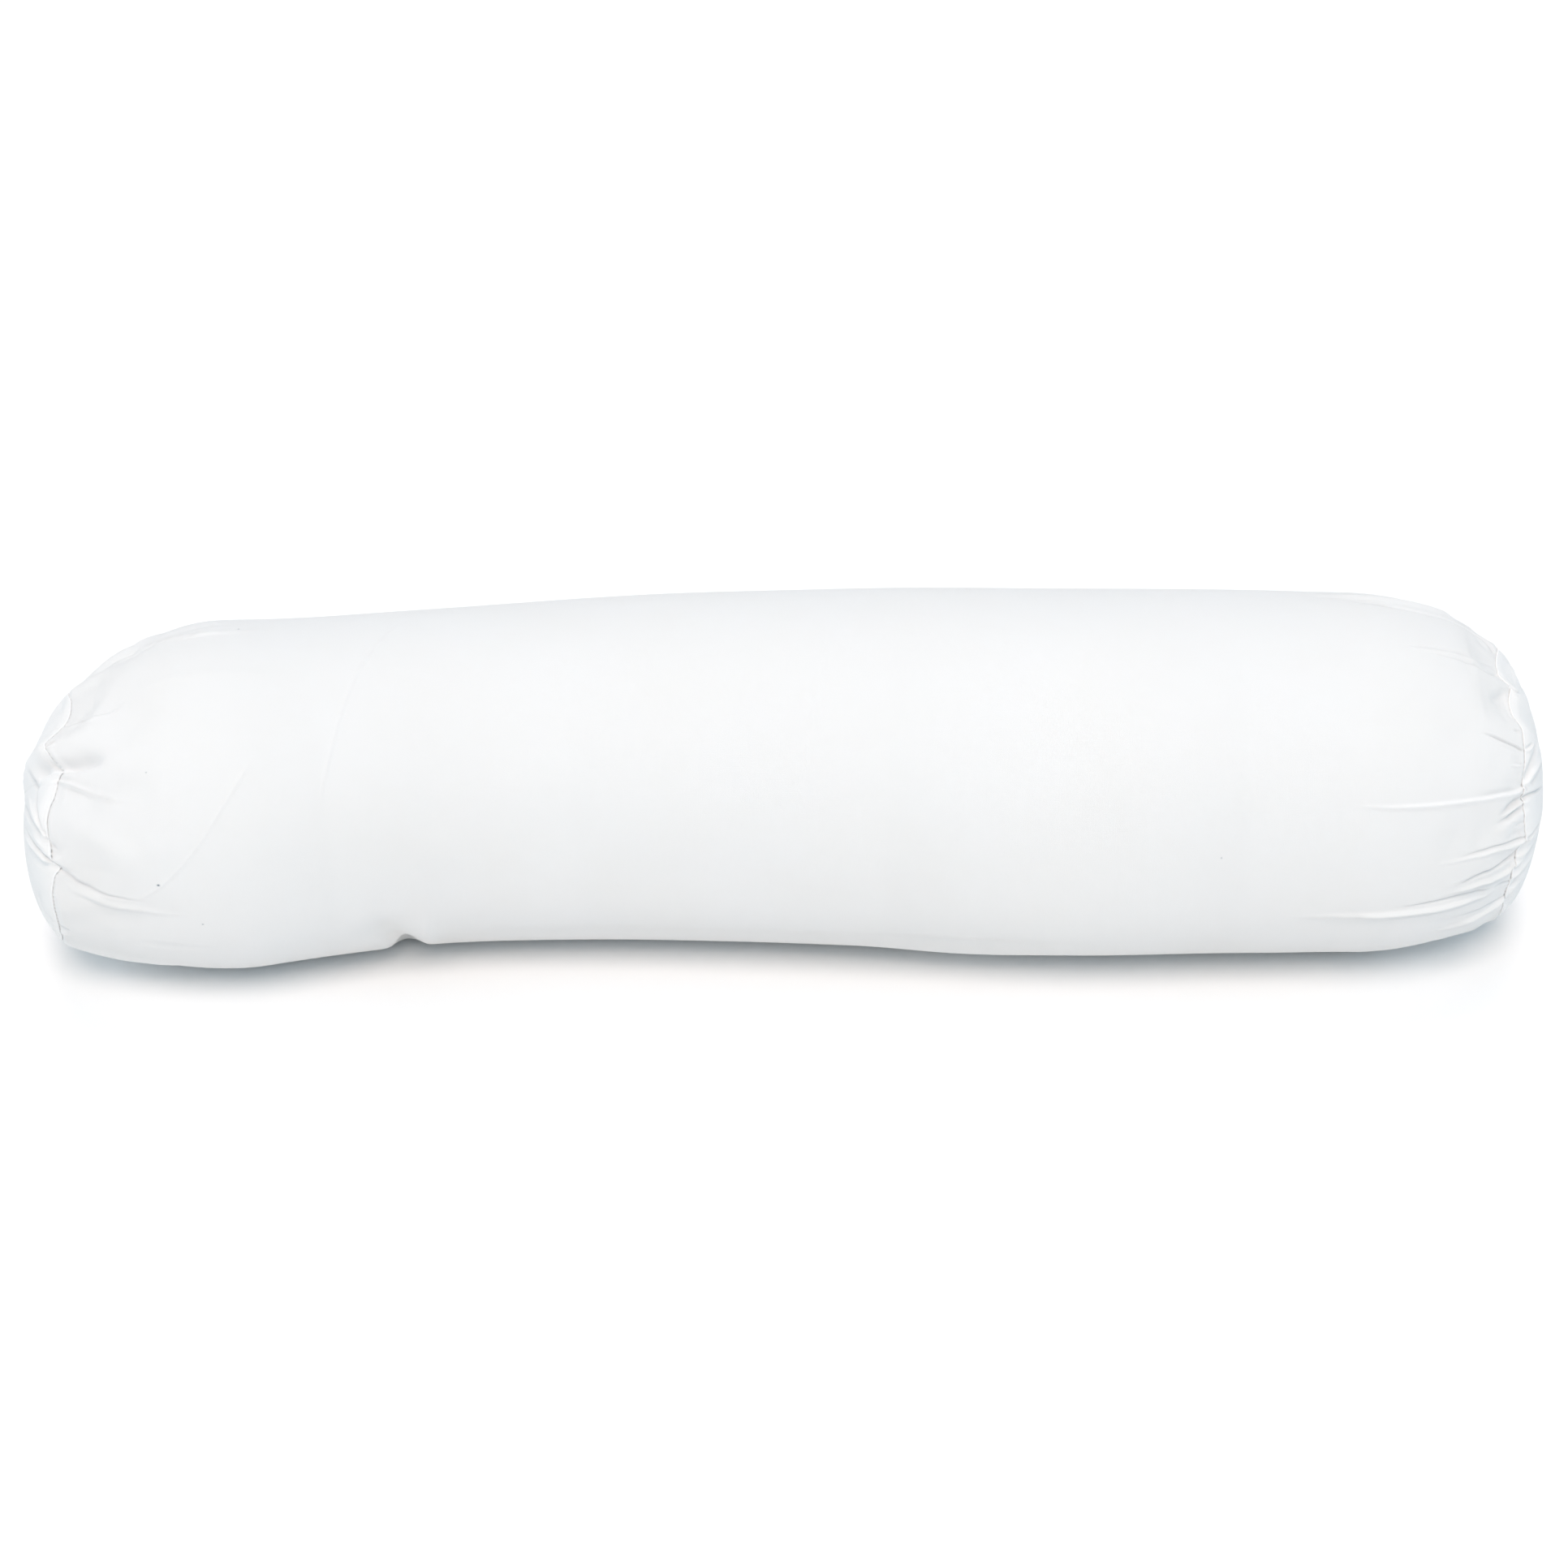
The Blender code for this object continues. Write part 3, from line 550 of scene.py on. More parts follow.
def pressed_flat(height):
    """Heights with everything below the surface brought up to it, and a soft turn."""
    soft = (height + SINK_EASE) ** 2 / (4 * SINK_EASE)
    return np.where(height > SINK_EASE, height, np.where(height < -SINK_EASE, 0, soft))


def centre_line(along):
    """The centre line's front offset and its turn, in radians."""
    front = of_section(along, "front")
    turn = np.arctan2(front - of_section(along + TURN_STEP, "front"), TURN_STEP)
    return front, turn


def half_sizes(along):
    """Half the width and half the height of the section at each place."""
    full = drawn_in(along)
    ring = by_end(along, RING_RADIUS)
    half_width = ring + (of_section(along, "half_width") - ring) * full
    half_height = ring + (of_section(along, "half_height") - ring) * full
    return half_width, half_height


def plain_body(along, clock):
    """Points of the cloth tube before it has folds, with its own middle as the origin."""
    full = drawn_in(along)
    height = by_end(along, RING_HEIGHT)
    half_width, half_height = half_sizes(along)
    middle = height + (of_section(along, "half_height") - SINK - height) * full
    across = half_width * (1 - SAG * full * np.sin(clock)) * -np.cos(clock)
    up = pressed_flat(middle + half_height * np.sin(clock))
    front, turn = centre_line(along)
    tilt = by_end(along, RING_TURN) * across - by_end(along, RING_LEAN) * (up - middle)
    tilt = (1 - full) * tilt - seam_pull(along, clock)
    along = along + np.sign(along) * tilt
    x = along - across * np.sin(turn)
    y = across * np.cos(turn) - front
    return np.stack(np.broadcast_arrays(x, y, up), axis=-1)


def clocks(around):
    """Evenly spaced clocks, in radians."""
    return np.arange(around) * 2 * math.pi / around


def fine_clocks(around):
    """Clocks round the pillow from its underside on, closest together on the front."""
    even = UNDER_CLOCK + clocks(around)
    return even - CLOSER * np.sin(even - FRONT_CLOCK)


def seam_ring(end, clock):
    """Points of an end seam."""
    return plain_body(np.array([side_of(end) * SEAM_REACH]), clock)


def seam_middle(end):
    """The middle of an end seam, and the direction in which its panel bulges."""
    ring = seam_ring(end, clocks(RING_STEPS))
    middle = ring.mean(axis=0)
    following = np.roll(ring, -1, axis=0)
    outwards = -side_of(end) * np.cross(ring - middle, following - middle).sum(axis=0)
    return middle, outwards / np.linalg.norm(outwards)


def plain_panel(end, share, clock):
    """Points of an end panel before it has folds, one ring for each share of its radius."""
    middle, outwards = seam_middle(end)
    spokes = seam_ring(end, clock) - middle
    standing = (spokes @ outwards)[:, None] * outwards
    share = np.asarray(share)[:, None, None]
    bulge = PANEL_BULGE[end] * np.clip(1 - share * share, 0, 1) ** PANEL_ROUNDNESS
    return middle + (spokes - standing) * share + standing * share**3 + outwards * bulge


def normals_of(points, outwards_from):
    """Unit normals of a grid of points whose columns go round, facing away from a line."""
    down = np.gradient(points, axis=0)
    onward = np.roll(points, -1, axis=1) - np.roll(points, 1, axis=1)
    normals = np.cross(down, onward)
    normals /= np.maximum(np.linalg.norm(normals, axis=-1, keepdims=True), TINY)
    facing = ((points - outwards_from) * normals).sum(axis=-1, keepdims=True)
    return normals * np.where(facing.mean() < 0, -1, 1)


# ---------------------------------------------------------------- relief


def smooth_line(places):
    """A smooth line through a fold's places, as evenly spaced points."""
    places = np.array(places, float)
    steps = np.linalg.norm(np.diff(places, axis=0), axis=1)
    travel = np.concatenate([[0], np.cumsum(steps)])
    at = np.linspace(0, travel[-1], LINE_POINTS)
    return np.stack([smooth_between(at, travel, places[:, i]) for i in (0, 1)], axis=-1)


def line_relief(x, y, line, height, width, steeper, from_seam):
    """The relief of one fold: a soft ridge along its line, fading towards its ends, or
    towards the far one alone where it comes from a seam."""
    low = line.min(axis=0) - FOLD_SPREAD * width
    high = line.max(axis=0) + FOLD_SPREAD * width
    near = (x > low[0]) & (x < high[0]) & (y > low[1]) & (y < high[1])
    off_x = x[near][:, None] - line[:, 0]
    off_y = y[near][:, None] - line[:, 1]
    nearest = np.argmin(off_x**2 + off_y**2, axis=1)
    pick = (np.arange(len(nearest)), nearest)
    heading = np.gradient(line, axis=0)
    heading /= np.linalg.norm(heading, axis=1, keepdims=True)
    ahead = heading[nearest]
    beside = ahead[:, 0] * off_y[pick] - ahead[:, 1] * off_x[pick]
    beyond = ahead[:, 0] * off_x[pick] + ahead[:, 1] * off_y[pick]
    last = len(line) - 1
    beyond = np.where((nearest == 0) | (nearest == last), beyond, 0)
    run = nearest / last
    fade = np.sqrt(eased((1 - run) / END_FADE))
    if not from_seam:
        fade = fade * np.sqrt(eased(run / START_FADE + START_RISEN))
    sides = np.where(beside > 0, 1 - steeper, 1 + steeper)
    reach = width * (END_WIDTH + (1 - END_WIDTH) * fade) * sides
    relief = np.zeros(x.shape)
    relief[near] = height * fade * np.exp(-(beside**2 + beyond**2) / reach**2)
    return relief


def on_disc(out, clock):
    """Places on the flat cloth of a round panel."""
    return np.stack([out * np.cos(clock), out * np.sin(clock)], axis=-1)


def girth_radius(along):
    """Mean radius of the section at each place: an angle times it is a length round it."""
    half_width, half_height = half_sizes(along)
    return (half_width + half_height) / 2


def fold_relief(along, clock):
    """Height of the folds of the body over its plain form, and how hollow it lies there, for painted
    shade.
    """
    inside = SEAM_REACH - np.abs(along)
    relief = np.zeros(np.broadcast(along, clock).shape)
    hollow_shade = np.zeros(relief.shape)
    for end in ENDS:
        rows = np.nonzero((np.sign(along[:, 0]) == side_of(end)) & (inside[:, 0] < FOLDS_REACH))[0]
        here = girth_radius(along[rows])
        for height, width, steeper, line in FOLDS[end]:
            start = math.radians(line[0][1])
            places = np.array(line, float)
            far_in = places[:, 0] * MM
            radius = girth_radius(side_of(end) * (SEAM_REACH - far_in))
            round_it = turned_between(np.radians(places[:, 1]), start) * radius
            drawn = smooth_line(np.stack([far_in, round_it], axis=-1))
            y = turned_between(clock, start) * here
            x = np.broadcast_to(inside[rows], y.shape)
            from_seam = line[0][0] <= SEAM_START
            fold = line_relief(x, y, drawn, height * MM, width * MM, steeper, from_seam)
            relief[rows] += fold
            # each trough adds painted shade by its depth over its width
            hollow_shade[rows] -= fold / (width * MM)
    share = FOLD_AT_SEAM + (1 - FOLD_AT_SEAM) * eased(inside / FOLD_RISE)
    return relief * share, np.clip(hollow_shade * share * HOLLOW_SHADE_GAIN, 0, 1)


def lump_relief(lumps, along, clock):
    """Height of soft lumps and hollows, given as a table."""
    relief = np.zeros(np.broadcast(along, clock).shape)
    for place, middle, length, width, height in lumps:
        lengthways = bell(along - place * MM, length * MM)
        across = turned_between(clock, math.radians(middle)) * girth_radius(along)
        relief += height * MM * lengthways * bell(across, width * MM)
    return relief


def panel_relief(end, share, clock):
    """Height of the folds of an end panel over its plain form, and how hollow it lies, for painted
    shade.
    """
    radius = RING_RADIUS[end]
    x, y = np.moveaxis(on_disc(share[:, None] * radius, clock), -1, 0)
    relief = np.zeros(x.shape)
    hollow_shade = np.zeros(x.shape)
    for height, width, steeper, line in PANEL_FOLDS[end]:
        places = np.array(line, float)
        drawn = smooth_line(on_disc(places[:, 0] * radius, np.radians(places[:, 1])))
        if line[0][0] < line[-1][0]:
            drawn = drawn[::-1]  # so that it too runs inwards from the seam
        fold = line_relief(x, y, drawn, height * MM, width * MM, steeper, from_seam=True)
        relief += fold
        hollow_shade -= fold / (width * MM)
    return relief, np.clip(hollow_shade * HOLLOW_SHADE_GAIN, 0, 1)


# ---------------------------------------------------------------- rows of points


def growing_steps(first, growth, reach):
    """Distances from 0 to a reach whose steps start small and grow."""
    count = math.ceil(math.log(1 + growth * reach / first) / math.log(1 + growth))
    places = first * ((1 + growth) ** np.arange(count + 1) - 1) / growth
    return places * reach / places[-1]


def stretches(first_step, growth, middle_step):
    """Rows near an end seam, as distances from it, and the places of those in the middle."""
    end = growing_steps(first_step, growth, END_STRETCH)
    middle_reach = SEAM_REACH - END_STRETCH
    count = round(2 * middle_reach / middle_step)
    return end, np.linspace(-middle_reach, middle_reach, count + 1)[1:-1]


def seam_to_seam(end, middle):
    """The places of all rows along the pillow."""
    return np.concatenate([end - SEAM_REACH, middle, SEAM_REACH - end[::-1]])


def body_rows():
    """Places of the body's rows along the pillow, and how many points go round in each."""
    end, middle = stretches(FIRST_STEP, STEP_GROWTH, MIDDLE_STEP)
    start, stop = PINCH_STRETCH
    finer_part = np.arange(start, stop, PINCH_STEP)
    middle = np.sort(np.append(middle[(middle < start) | (middle > stop)], finer_part))
    around = [END_AROUND] * len(end) + [MIDDLE_AROUND] * len(middle) + [END_AROUND] * len(end)
    return seam_to_seam(end, middle), around


def panel_rows(end):
    """Shares of a panel's radius, how far each lies from the seam along the cloth, and how
    many points go round there."""
    share = 1 - np.linspace(0, 1, PANEL_SAMPLES) ** 3  # closest together at the seam
    rise = PANEL_BULGE[end] * np.clip(1 - share * share, 0, 1) ** PANEL_ROUNDNESS
    steps = np.hypot(np.diff(share) * RING_RADIUS[end], np.diff(rise))
    travel = np.concatenate([[0], np.cumsum(steps)])
    distance = growing_steps(PANEL_FIRST_STEP, PANEL_STEP_GROWTH, travel[-1] * PANEL_INNERMOST)
    shares = np.interp(distance, travel, share)
    around = [next(count for least, count in PANEL_AROUND if share >= least) for share in shares]
    return shares, distance, around


# ---------------------------------------------------------------- the filling's pressure

SETTLE_AROUND = 144  # points round the pillow in the cloth that is simulated
SETTLE_FIRST_STEP = 2.2 * MM
SETTLE_GROWTH = 0.06
SETTLE_MIDDLE_STEP = 16.0 * MM
SETTLE_PANEL_STEP = 3.2 * MM
SETTLE_FRAMES = 20
SETTLE_QUALITY = 5  # steps of the simulation in each frame
PRESSURE = 1.0
STRETCH_STIFFNESS = 40
SHEAR_STIFFNESS = 20
BEND_STIFFNESS = 0.2
LYING_HEIGHT = 2.0 * MM  # cloth lower than this lies on the surface, and doesn't move
LOOSE_REACH = 0.050  # how far from a seam the cloth has been gathered
LOOSE_SHARE = 0.02  # how much longer it is cut there than the form it covers
FIRM_FROM = 0.120  # how far from a seam the filling begins to hold the cloth in place
FIRM_AFTER = 0.060  # and the stretch over which it comes to hold it quite
MOST_MOVE = 2.5 * MM
FINEST_PUCKERS = 30  # as many as this round the pillow are kept, and finer ones fade


def settle_rows():
    """Places of the simulated cloth's rows along the pillow."""
    return seam_to_seam(*stretches(SETTLE_FIRST_STEP, SETTLE_GROWTH, SETTLE_MIDDLE_STEP))


def settle_shares(end):
    """Shares of a panel's radius from near its middle out to just inside its seam."""
    count = round(RING_RADIUS[end] / SETTLE_PANEL_STEP)
    return np.arange(1, count) / count


def linked(name, data):
    """A new object in the scene."""
    piece = bpy.data.objects.new(name, data)
    bpy.context.collection.objects.link(piece)
    return piece


def only(piece):
    """Select one piece and make it the active one."""
    bpy.ops.object.select_all(action="DESELECT")
    bpy.context.view_layer.objects.active = piece
    piece.select_set(True)


def tube_faces(count, around):
    """Quads between neighbouring rings of vertices."""
    ring = np.arange(around)
    following = np.roll(ring, -1)
    starts = np.arange(count - 1)[:, None] * around
    corners = (following, following + around, ring + around, ring)
    return np.stack([starts + corner for corner in corners], axis=-1).reshape(-1, 4)


def fan(ring, middle, around):
    """Triangles from a ring of vertices to one in its middle."""
    return [(ring + i, ring + (i + 1) % around, middle) for i in range(around)]


def settled(points, held, loose):
    """Where a closed cloth, given as a grid, ends under the filling's pressure."""
    count, around = points.shape[:2]
    corners = np.concatenate([points.reshape(-1, 3), points[[0, -1]].mean(axis=1)])
    pole = count * around
    faces = tube_faces(count, around).tolist()
    faces += fan(0, pole, around)
    faces += [face[::-1] for face in fan(pole - around, pole + 1, around)]
    mesh = bpy.data.meshes.new("cloth_under_pressure")
    mesh.from_pydata(corners.tolist(), [], faces)
    piece = linked("cloth_under_pressure", mesh)
    for name, weights in (("held", held), ("tight", 1 - loose)):
        group = piece.vertex_groups.new(name=name)
        for index, weight in enumerate(weights.ravel().tolist()):
            if weight > 0:
                group.add([index], weight, "REPLACE")
    cloth = piece.modifiers.new("filling", "CLOTH")
    cloth.settings.quality = SETTLE_QUALITY
    cloth.settings.use_pressure = True
    cloth.settings.uniform_pressure_force = PRESSURE
    cloth.settings.effector_weights.gravity = 0
    cloth.settings.vertex_group_mass = "held"
    cloth.settings.vertex_group_shrink = "tight"
    cloth.settings.shrink_min = -LOOSE_SHARE
    cloth.settings.shrink_max = 0
    cloth.settings.tension_stiffness = STRETCH_STIFFNESS
    cloth.settings.compression_stiffness = STRETCH_STIFFNESS
    cloth.settings.shear_stiffness = SHEAR_STIFFNESS
    cloth.settings.bending_stiffness = BEND_STIFFNESS
    cloth.collision_settings.use_collision = False
    cloth.point_cache.frame_start = 1
    cloth.point_cache.frame_end = SETTLE_FRAMES
    for step in range(1, SETTLE_FRAMES + 1):
        bpy.context.scene.frame_set(step)
    only(piece)
    bpy.ops.object.modifier_apply(modifier=cloth.name)
    moved = np.empty(len(corners) * 3)
    piece.data.vertices.foreach_get("co", moved)
    bpy.data.objects.remove(piece)
    bpy.data.meshes.remove(mesh)
    bpy.context.scene.frame_set(1)
    return moved.reshape(-1, 3)[:pole].reshape(points.shape)


def puckers():
    """How far the filling's pressure moves the cloth, as coarse grids for the left panel,
    the body and the right panel. The panels' grids run from their middles to their seams."""
    clock = clocks(SETTLE_AROUND)
    rows = settle_rows()
    left = plain_panel("left", settle_shares("left"), clock)
    right = plain_panel("right", settle_shares("right"), clock)
    body = plain_body(rows[:, None], clock[None, :])
    points = np.concatenate([left, body, right[::-1]])
    inside = SEAM_REACH - np.abs(rows)
    of_body = slice(len(left), len(left) + len(rows))
    held = np.zeros(points.shape[:2])
    loose = np.zeros(points.shape[:2])
    held[of_body] = eased((inside - FIRM_FROM) / FIRM_AFTER)[:, None]
    held[[of_body.start, of_body.stop - 1]] = 1
    held[points[..., 2] < LYING_HEIGHT] = 1
    loose[of_body] = eased(1 - inside / LOOSE_REACH)[:, None]
    moves = np.zeros(points.shape)
    moves = settled(points, held, loose) - points
    length = np.linalg.norm(moves, axis=-1, keepdims=True)
    moves *= np.minimum(1, MOST_MOVE / np.maximum(length, TINY))
    at_left_seam = moves[: of_body.start + 1]
    at_right_seam = moves[of_body.stop - 1 :][::-1]
    return at_left_seam, moves[of_body], at_right_seam


def finer(moves, places, at, clock):
    """Moves known on a coarse grid, at the places and clocks of a finer one."""
    count, around = moves.shape[:2]
    at = np.clip(at, places[0], places[-1])
    lines = moves.reshape(count, -1).T
    rows = np.stack([smooth_between(at, places, line) for line in lines], axis=-1)
    waves = np.fft.rfft(rows.reshape(len(at), around, 3), axis=1) / around
    order = np.arange(waves.shape[1])
    share = np.exp(-((order / FINEST_PUCKERS) ** 2)) * np.where(order == 0, 1, 2)
    turns = share[:, None] * np.exp(1j * order[:, None] * clock)
    return np.einsum("rkc,kn->rnc", waves, turns).real


# ---------------------------------------------------------------- the cloth with its folds

PLACE = np.array((1.516, 15.181, 0.0)) * MM  # from the pillow's own middle to the solids'
FREE_FROM = 6.0 * MM  # height above the surface from which folds have their full height
RIM_REACH = 10.0 * MM  # how far into a panel its cloth goes along with the seam


def seam_travel(ring):
    """The distance along a seam at each of its points, and once more at its first."""
    steps = np.linalg.norm(np.roll(ring, -1, axis=0) - ring, axis=1)
    return np.concatenate([[0], np.cumsum(steps)])


def groove(end, distance, width):
    """How far the seam draws the cloth in, at each distance from it and each clock: most
    halfway between two stitches."""
    travel = seam_travel(rings[end])
    count = round(travel[-1] / STITCH_PITCH)
    between = 0.5 - 0.5 * np.cos(2 * math.pi * count * travel[:-1] / travel[-1])
    opening = round_the_seam(SEAM_OPENINGS[end], OPENING_COLUMNS, clock)
    depth = CLOSED_DEPTH + SEAM_DEPTH * opening * between
    return depth * bell(distance, width)[:, None]


def towards_middle(end, clock):
    """Unit vectors from an end seam to its middle."""
    middle, _ = seam_middle(end)
    inwards = middle - seam_ring(end, clock)
    return inwards / np.linalg.norm(inwards, axis=-1, keepdims=True)


def body_cloth(moves):
    """Points of the body's cloth, row by row, and how hollow it lies at each, for painted shade."""
    rows, _ = body_rows()
    clock = fine_clocks(END_AROUND)
    plain = plain_body(rows[:, None], clock[None, :])
    normals = normals_of(plain, plain.mean(axis=1, keepdims=True))
    relief, hollow_shade = fold_relief(rows[:, None], clock[None, :])
    relief += lump_relief(LUMPS, rows[:, None], clock[None, :])
    points = plain + normals * relief[..., None] + finer(moves, settle_rows(), rows, clock)
    points = plain + (points - plain) * eased(plain[..., 2:] / FREE_FROM)
    points += normals * lump_relief(PINCHES, rows[:, None], clock[None, :])[..., None]
    points[..., 2] = np.maximum(points[..., 2], 0)
    return rows, points, plain, hollow_shade


def panel_cloth(end, moves, rim_moves):
    """Points of an end panel's cloth, ring by ring from its seam, how hollow it lies at each,
    which sets the shade painted into its colour, and how much of it is doubled."""
    shares, distance, _ = panel_rows(end)
    clock = fine_clocks(END_AROUND)
    plain = plain_panel(end, shares, clock)
    middle, outwards = seam_middle(end)
    normals = normals_of(plain, middle)
    relief, hollow_shade = panel_relief(end, shares, clock)
    relief *= (FOLD_AT_SEAM + (1 - FOLD_AT_SEAM) * eased(distance / FOLD_RISE))[:, None]
    edge = EDGE_HEIGHT * bell(distance - EDGE_PLACE, EDGE_WIDTH)[:, None]
    places = np.concatenate([settle_shares(end), [1.0]])
    points = plain + normals * (relief + edge)[..., None] + finer(moves, places, shares, clock)
    points += rim_moves * (1 - eased(distance / RIM_REACH))[:, None, None]
    depth = groove(end, distance, PANEL_SEAM_WIDTH)
    points += towards_middle(end, clock) * depth[..., None] + outwards * PANEL_GAP
    # the seam's groove gets painted shade as well, most where the stitches stand open
    hollow_shade = np.maximum(hollow_shade, np.clip(depth / SEAM_DEPTH, 0, 1))
    doubled = bell(distance - EDGE_PLACE, EDGE_WIDTH)[:, None] + np.zeros(hollow_shade.shape)
    return shares, points, hollow_shade, doubled


# ---------------------------------------------------------------- meshes


def faces_between(rows):
    """Faces between rows of points, of which one may have twice as many as the next. A
    row's last corner, one past its points, is its first again."""
    starts = np.cumsum([0] + [len(row) + 1 for row in rows])
    faces = []
    for i, (here, there) in enumerate(zip(rows[:-1], rows[1:])):
        step = np.arange(min(len(here), len(there)))
        a, b = starts[i], starts[i + 1]
        if len(here) == len(there):
            corners = (a + step, a + step + 1, b + step + 1, b + step)
        elif len(here) > len(there):
            corners = (a + 2 * step, a + 2 * step + 1, a + 2 * step + 2, b + step + 1, b + step)
        else:
            corners = (a + step, a + step + 1, b + 2 * step + 2, b + 2 * step + 1, b + 2 * step)
        faces += np.stack(corners, axis=-1).tolist()
    return faces, starts


def closed_piece(name, points, around, masks, flats):
    """A closed mesh through the rows of a grid of points. around says how many go round in
    each row, masks are numbers for each point, by name, and flats gives each row's places on
    the flat cloth, one more than its points."""
    poles = [points[0].mean(axis=0), points[-1].mean(axis=0)]
    rows = thinned(points, around)
    faces, starts = faces_between(rows)
    vertex_starts = np.cumsum([0] + [len(row) for row in rows])
    vertex_of = [start + np.arange(len(row) + 1) % len(row) for start, row in zip(vertex_starts, rows)]
    vertex_of = np.concatenate(vertex_of + [vertex_starts[-1] + np.arange(2)])
    flat = np.concatenate(flats + [flats[0].mean(axis=0)[None], flats[-1].mean(axis=0)[None]])
    first = np.arange(len(rows[0]))
    last = starts[-2] + np.arange(len(rows[-1]))
    faces += [(i + 1, i, starts[-1]) for i in first.tolist()]
    faces += [(i, i + 1, starts[-1] + 1) for i in last.tolist()]
    corners = [corner for face in faces for corner in face]
    mesh = bpy.data.meshes.new(name)
    vertices = np.concatenate(rows + [np.array(poles)]) + PLACE
    mesh.from_pydata(vertices.tolist(), [], [[int(vertex_of[i]) for i in face] for face in faces])
    layer = mesh.uv_layers.new(name="cloth")
    layer.data.foreach_set("uv", flat[corners].ravel())
    for mask, values in masks.items():
        layer = mesh.attributes.new(mask, "FLOAT", "POINT")
        layer.data.foreach_set("value", np.concatenate(thinned(values, around) + [np.zeros(2)]))
    mesh.shade_smooth()
    piece = linked(name, mesh)
    turn_outwards(piece)
    return piece


def turn_outwards(piece):
    """Make all faces of a closed piece point outwards."""
    only(piece)
    bpy.ops.object.mode_set(mode="EDIT")
    bpy.ops.mesh.select_all(action="SELECT")
    bpy.ops.mesh.normals_make_consistent(inside=False)
    bpy.ops.object.mode_set(mode="OBJECT")


def thinned(grid, around):
    """The rows of a grid, each with as many of its points as are asked for there."""
    return [row[:: len(row) // count] for row, count in zip(grid, around)]


def with_end(clock):
    """Clocks with the first one again at the end, a whole turn on."""
    return np.append(clock, clock[0] + 2 * math.pi)


GIRTH_RADIUS = 0.118  # an angle times this is a length round the flat cloth of the body

clock = fine_clocks(END_AROUND)
left_moves, body_moves, right_moves = puckers()
rows, points, plain, hollow_shade = body_cloth(body_moves)
rims = {"left": points[0] - plain[0], "right": points[-1] - plain[-1]}
rings = {"left": points[0].copy(), "right": points[-1].copy()}
inside = SEAM_REACH - np.abs(rows)
for end in ENDS:
    depth = groove(end, inside, SEAM_WIDTH) * (np.sign(rows) == side_of(end))[:, None]
    points += towards_middle(end, clock) * depth[..., None]
    # the groove gets painted shade as well, most where the stitches stand open
    hollow_shade = np.maximum(hollow_shade, np.clip(depth / SEAM_DEPTH, 0, 1))
_, around = body_rows()
flats = [np.stack([np.full(count + 1, row), with_end(fine_clocks(count)) * GIRTH_RADIUS], axis=-1)
         for row, count in zip(rows, around)]
body = closed_piece("pillow_body", points, around, {"hollow_shade": hollow_shade}, flats)

panels = {}
for end, moves in (("left", left_moves), ("right", right_moves)):
    shares, points, hollow_shade, doubled = panel_cloth(end, moves, rims[end])
    _, _, around = panel_rows(end)
    flats = [on_disc(share * RING_RADIUS[end], with_end(fine_clocks(count)))
             for share, count in zip(shares, around)]
    masks = {"hollow_shade": hollow_shade, "doubled": doubled}
    panels[end] = closed_piece(f"{end}_end_panel", points, around, masks, flats)

# ---------------------------------------------------------------- stitches


def one_stitch():
    """A stitch at the origin, along X, whose two ends dive into the cloth."""
    bpy.ops.object.select_all(action="DESELECT")
    bpy.ops.mesh.primitive_cylinder_add(
        vertices=THREAD_SIDES, radius=THREAD_RADIUS, depth=STITCH_LENGTH,
        rotation=(0, math.pi / 2, 0))
    stitch = bpy.context.object
    bpy.ops.object.transform_apply(rotation=True)
    for side in (-1, 1):
        bpy.ops.object.mode_set(mode="EDIT")
        bpy.ops.mesh.select_mode(type="FACE")
        bpy.ops.mesh.select_all(action="DESELECT")
        bpy.ops.object.mode_set(mode="OBJECT")
        for face in stitch.data.polygons:
            face.select = face.normal.x * side > END_FACING
        bpy.ops.object.mode_set(mode="EDIT")
        for out, down, kept in STITCH_DIVES:
            bpy.ops.mesh.extrude_region_move(TRANSFORM_OT_translate={
                "value": (side * out * THREAD_RADIUS, 0, -down * THREAD_RADIUS)})
            bpy.ops.transform.resize(value=(1, kept, kept))
        bpy.ops.object.mode_set(mode="OBJECT")
    bpy.ops.object.mode_set(mode="EDIT")
    bpy.ops.mesh.select_all(action="SELECT")
    bpy.ops.transform.translate(value=(0, -THREAD_SPACING / 2, 0))
    bpy.ops.mesh.duplicate_move(TRANSFORM_OT_translate={"value": (0, THREAD_SPACING, 0)})
    bpy.ops.object.mode_set(mode="OBJECT")
    stitch.data.shade_smooth()
    return stitch


def stitches(end):
    """Stitches across the groove of an end seam, evenly spaced along it."""
    ring = rings[end] + PLACE
    middle, outwards = seam_middle(end)
    middle = middle + PLACE
    travel = seam_travel(ring)
    count = round(travel[-1] / STITCH_PITCH)
    base = one_stitch()
    pieces = []
    closed = np.append(ring, ring[:1], axis=0)
    for place in np.arange(count) * travel[-1] / count:
        near, after = (
            np.array([np.interp(at, travel, closed[:, i]) for i in range(3)])
            for at in (place, place + MM))
        forward = Vector(after - near).normalized()
        out_of_seam = Vector(near - middle).normalized()
        across = forward.cross(out_of_seam).normalized()
        up = across.cross(forward).normalized()
        sewn_at = Vector(near + outwards * PANEL_GAP / 2) - up * STITCH_DEPTH
        turn = Matrix((across, forward, up)).transposed().to_4x4()
        piece = base.copy()
        piece.data = base.data.copy()
        piece.data.transform(Matrix.Translation(sewn_at) @ turn)
        bpy.context.collection.objects.link(piece)
        pieces.append(piece)
    bpy.data.objects.remove(base)
    only(pieces[0])
    for piece in pieces:
        piece.select_set(True)
    bpy.ops.object.join()
    pieces[0].name = f"{end}_seam_stitches"
    turn_outwards(pieces[0])
    return pieces[0]


seams = {end: stitches(end) for end in ENDS}

# ---------------------------------------------------------------- finishes


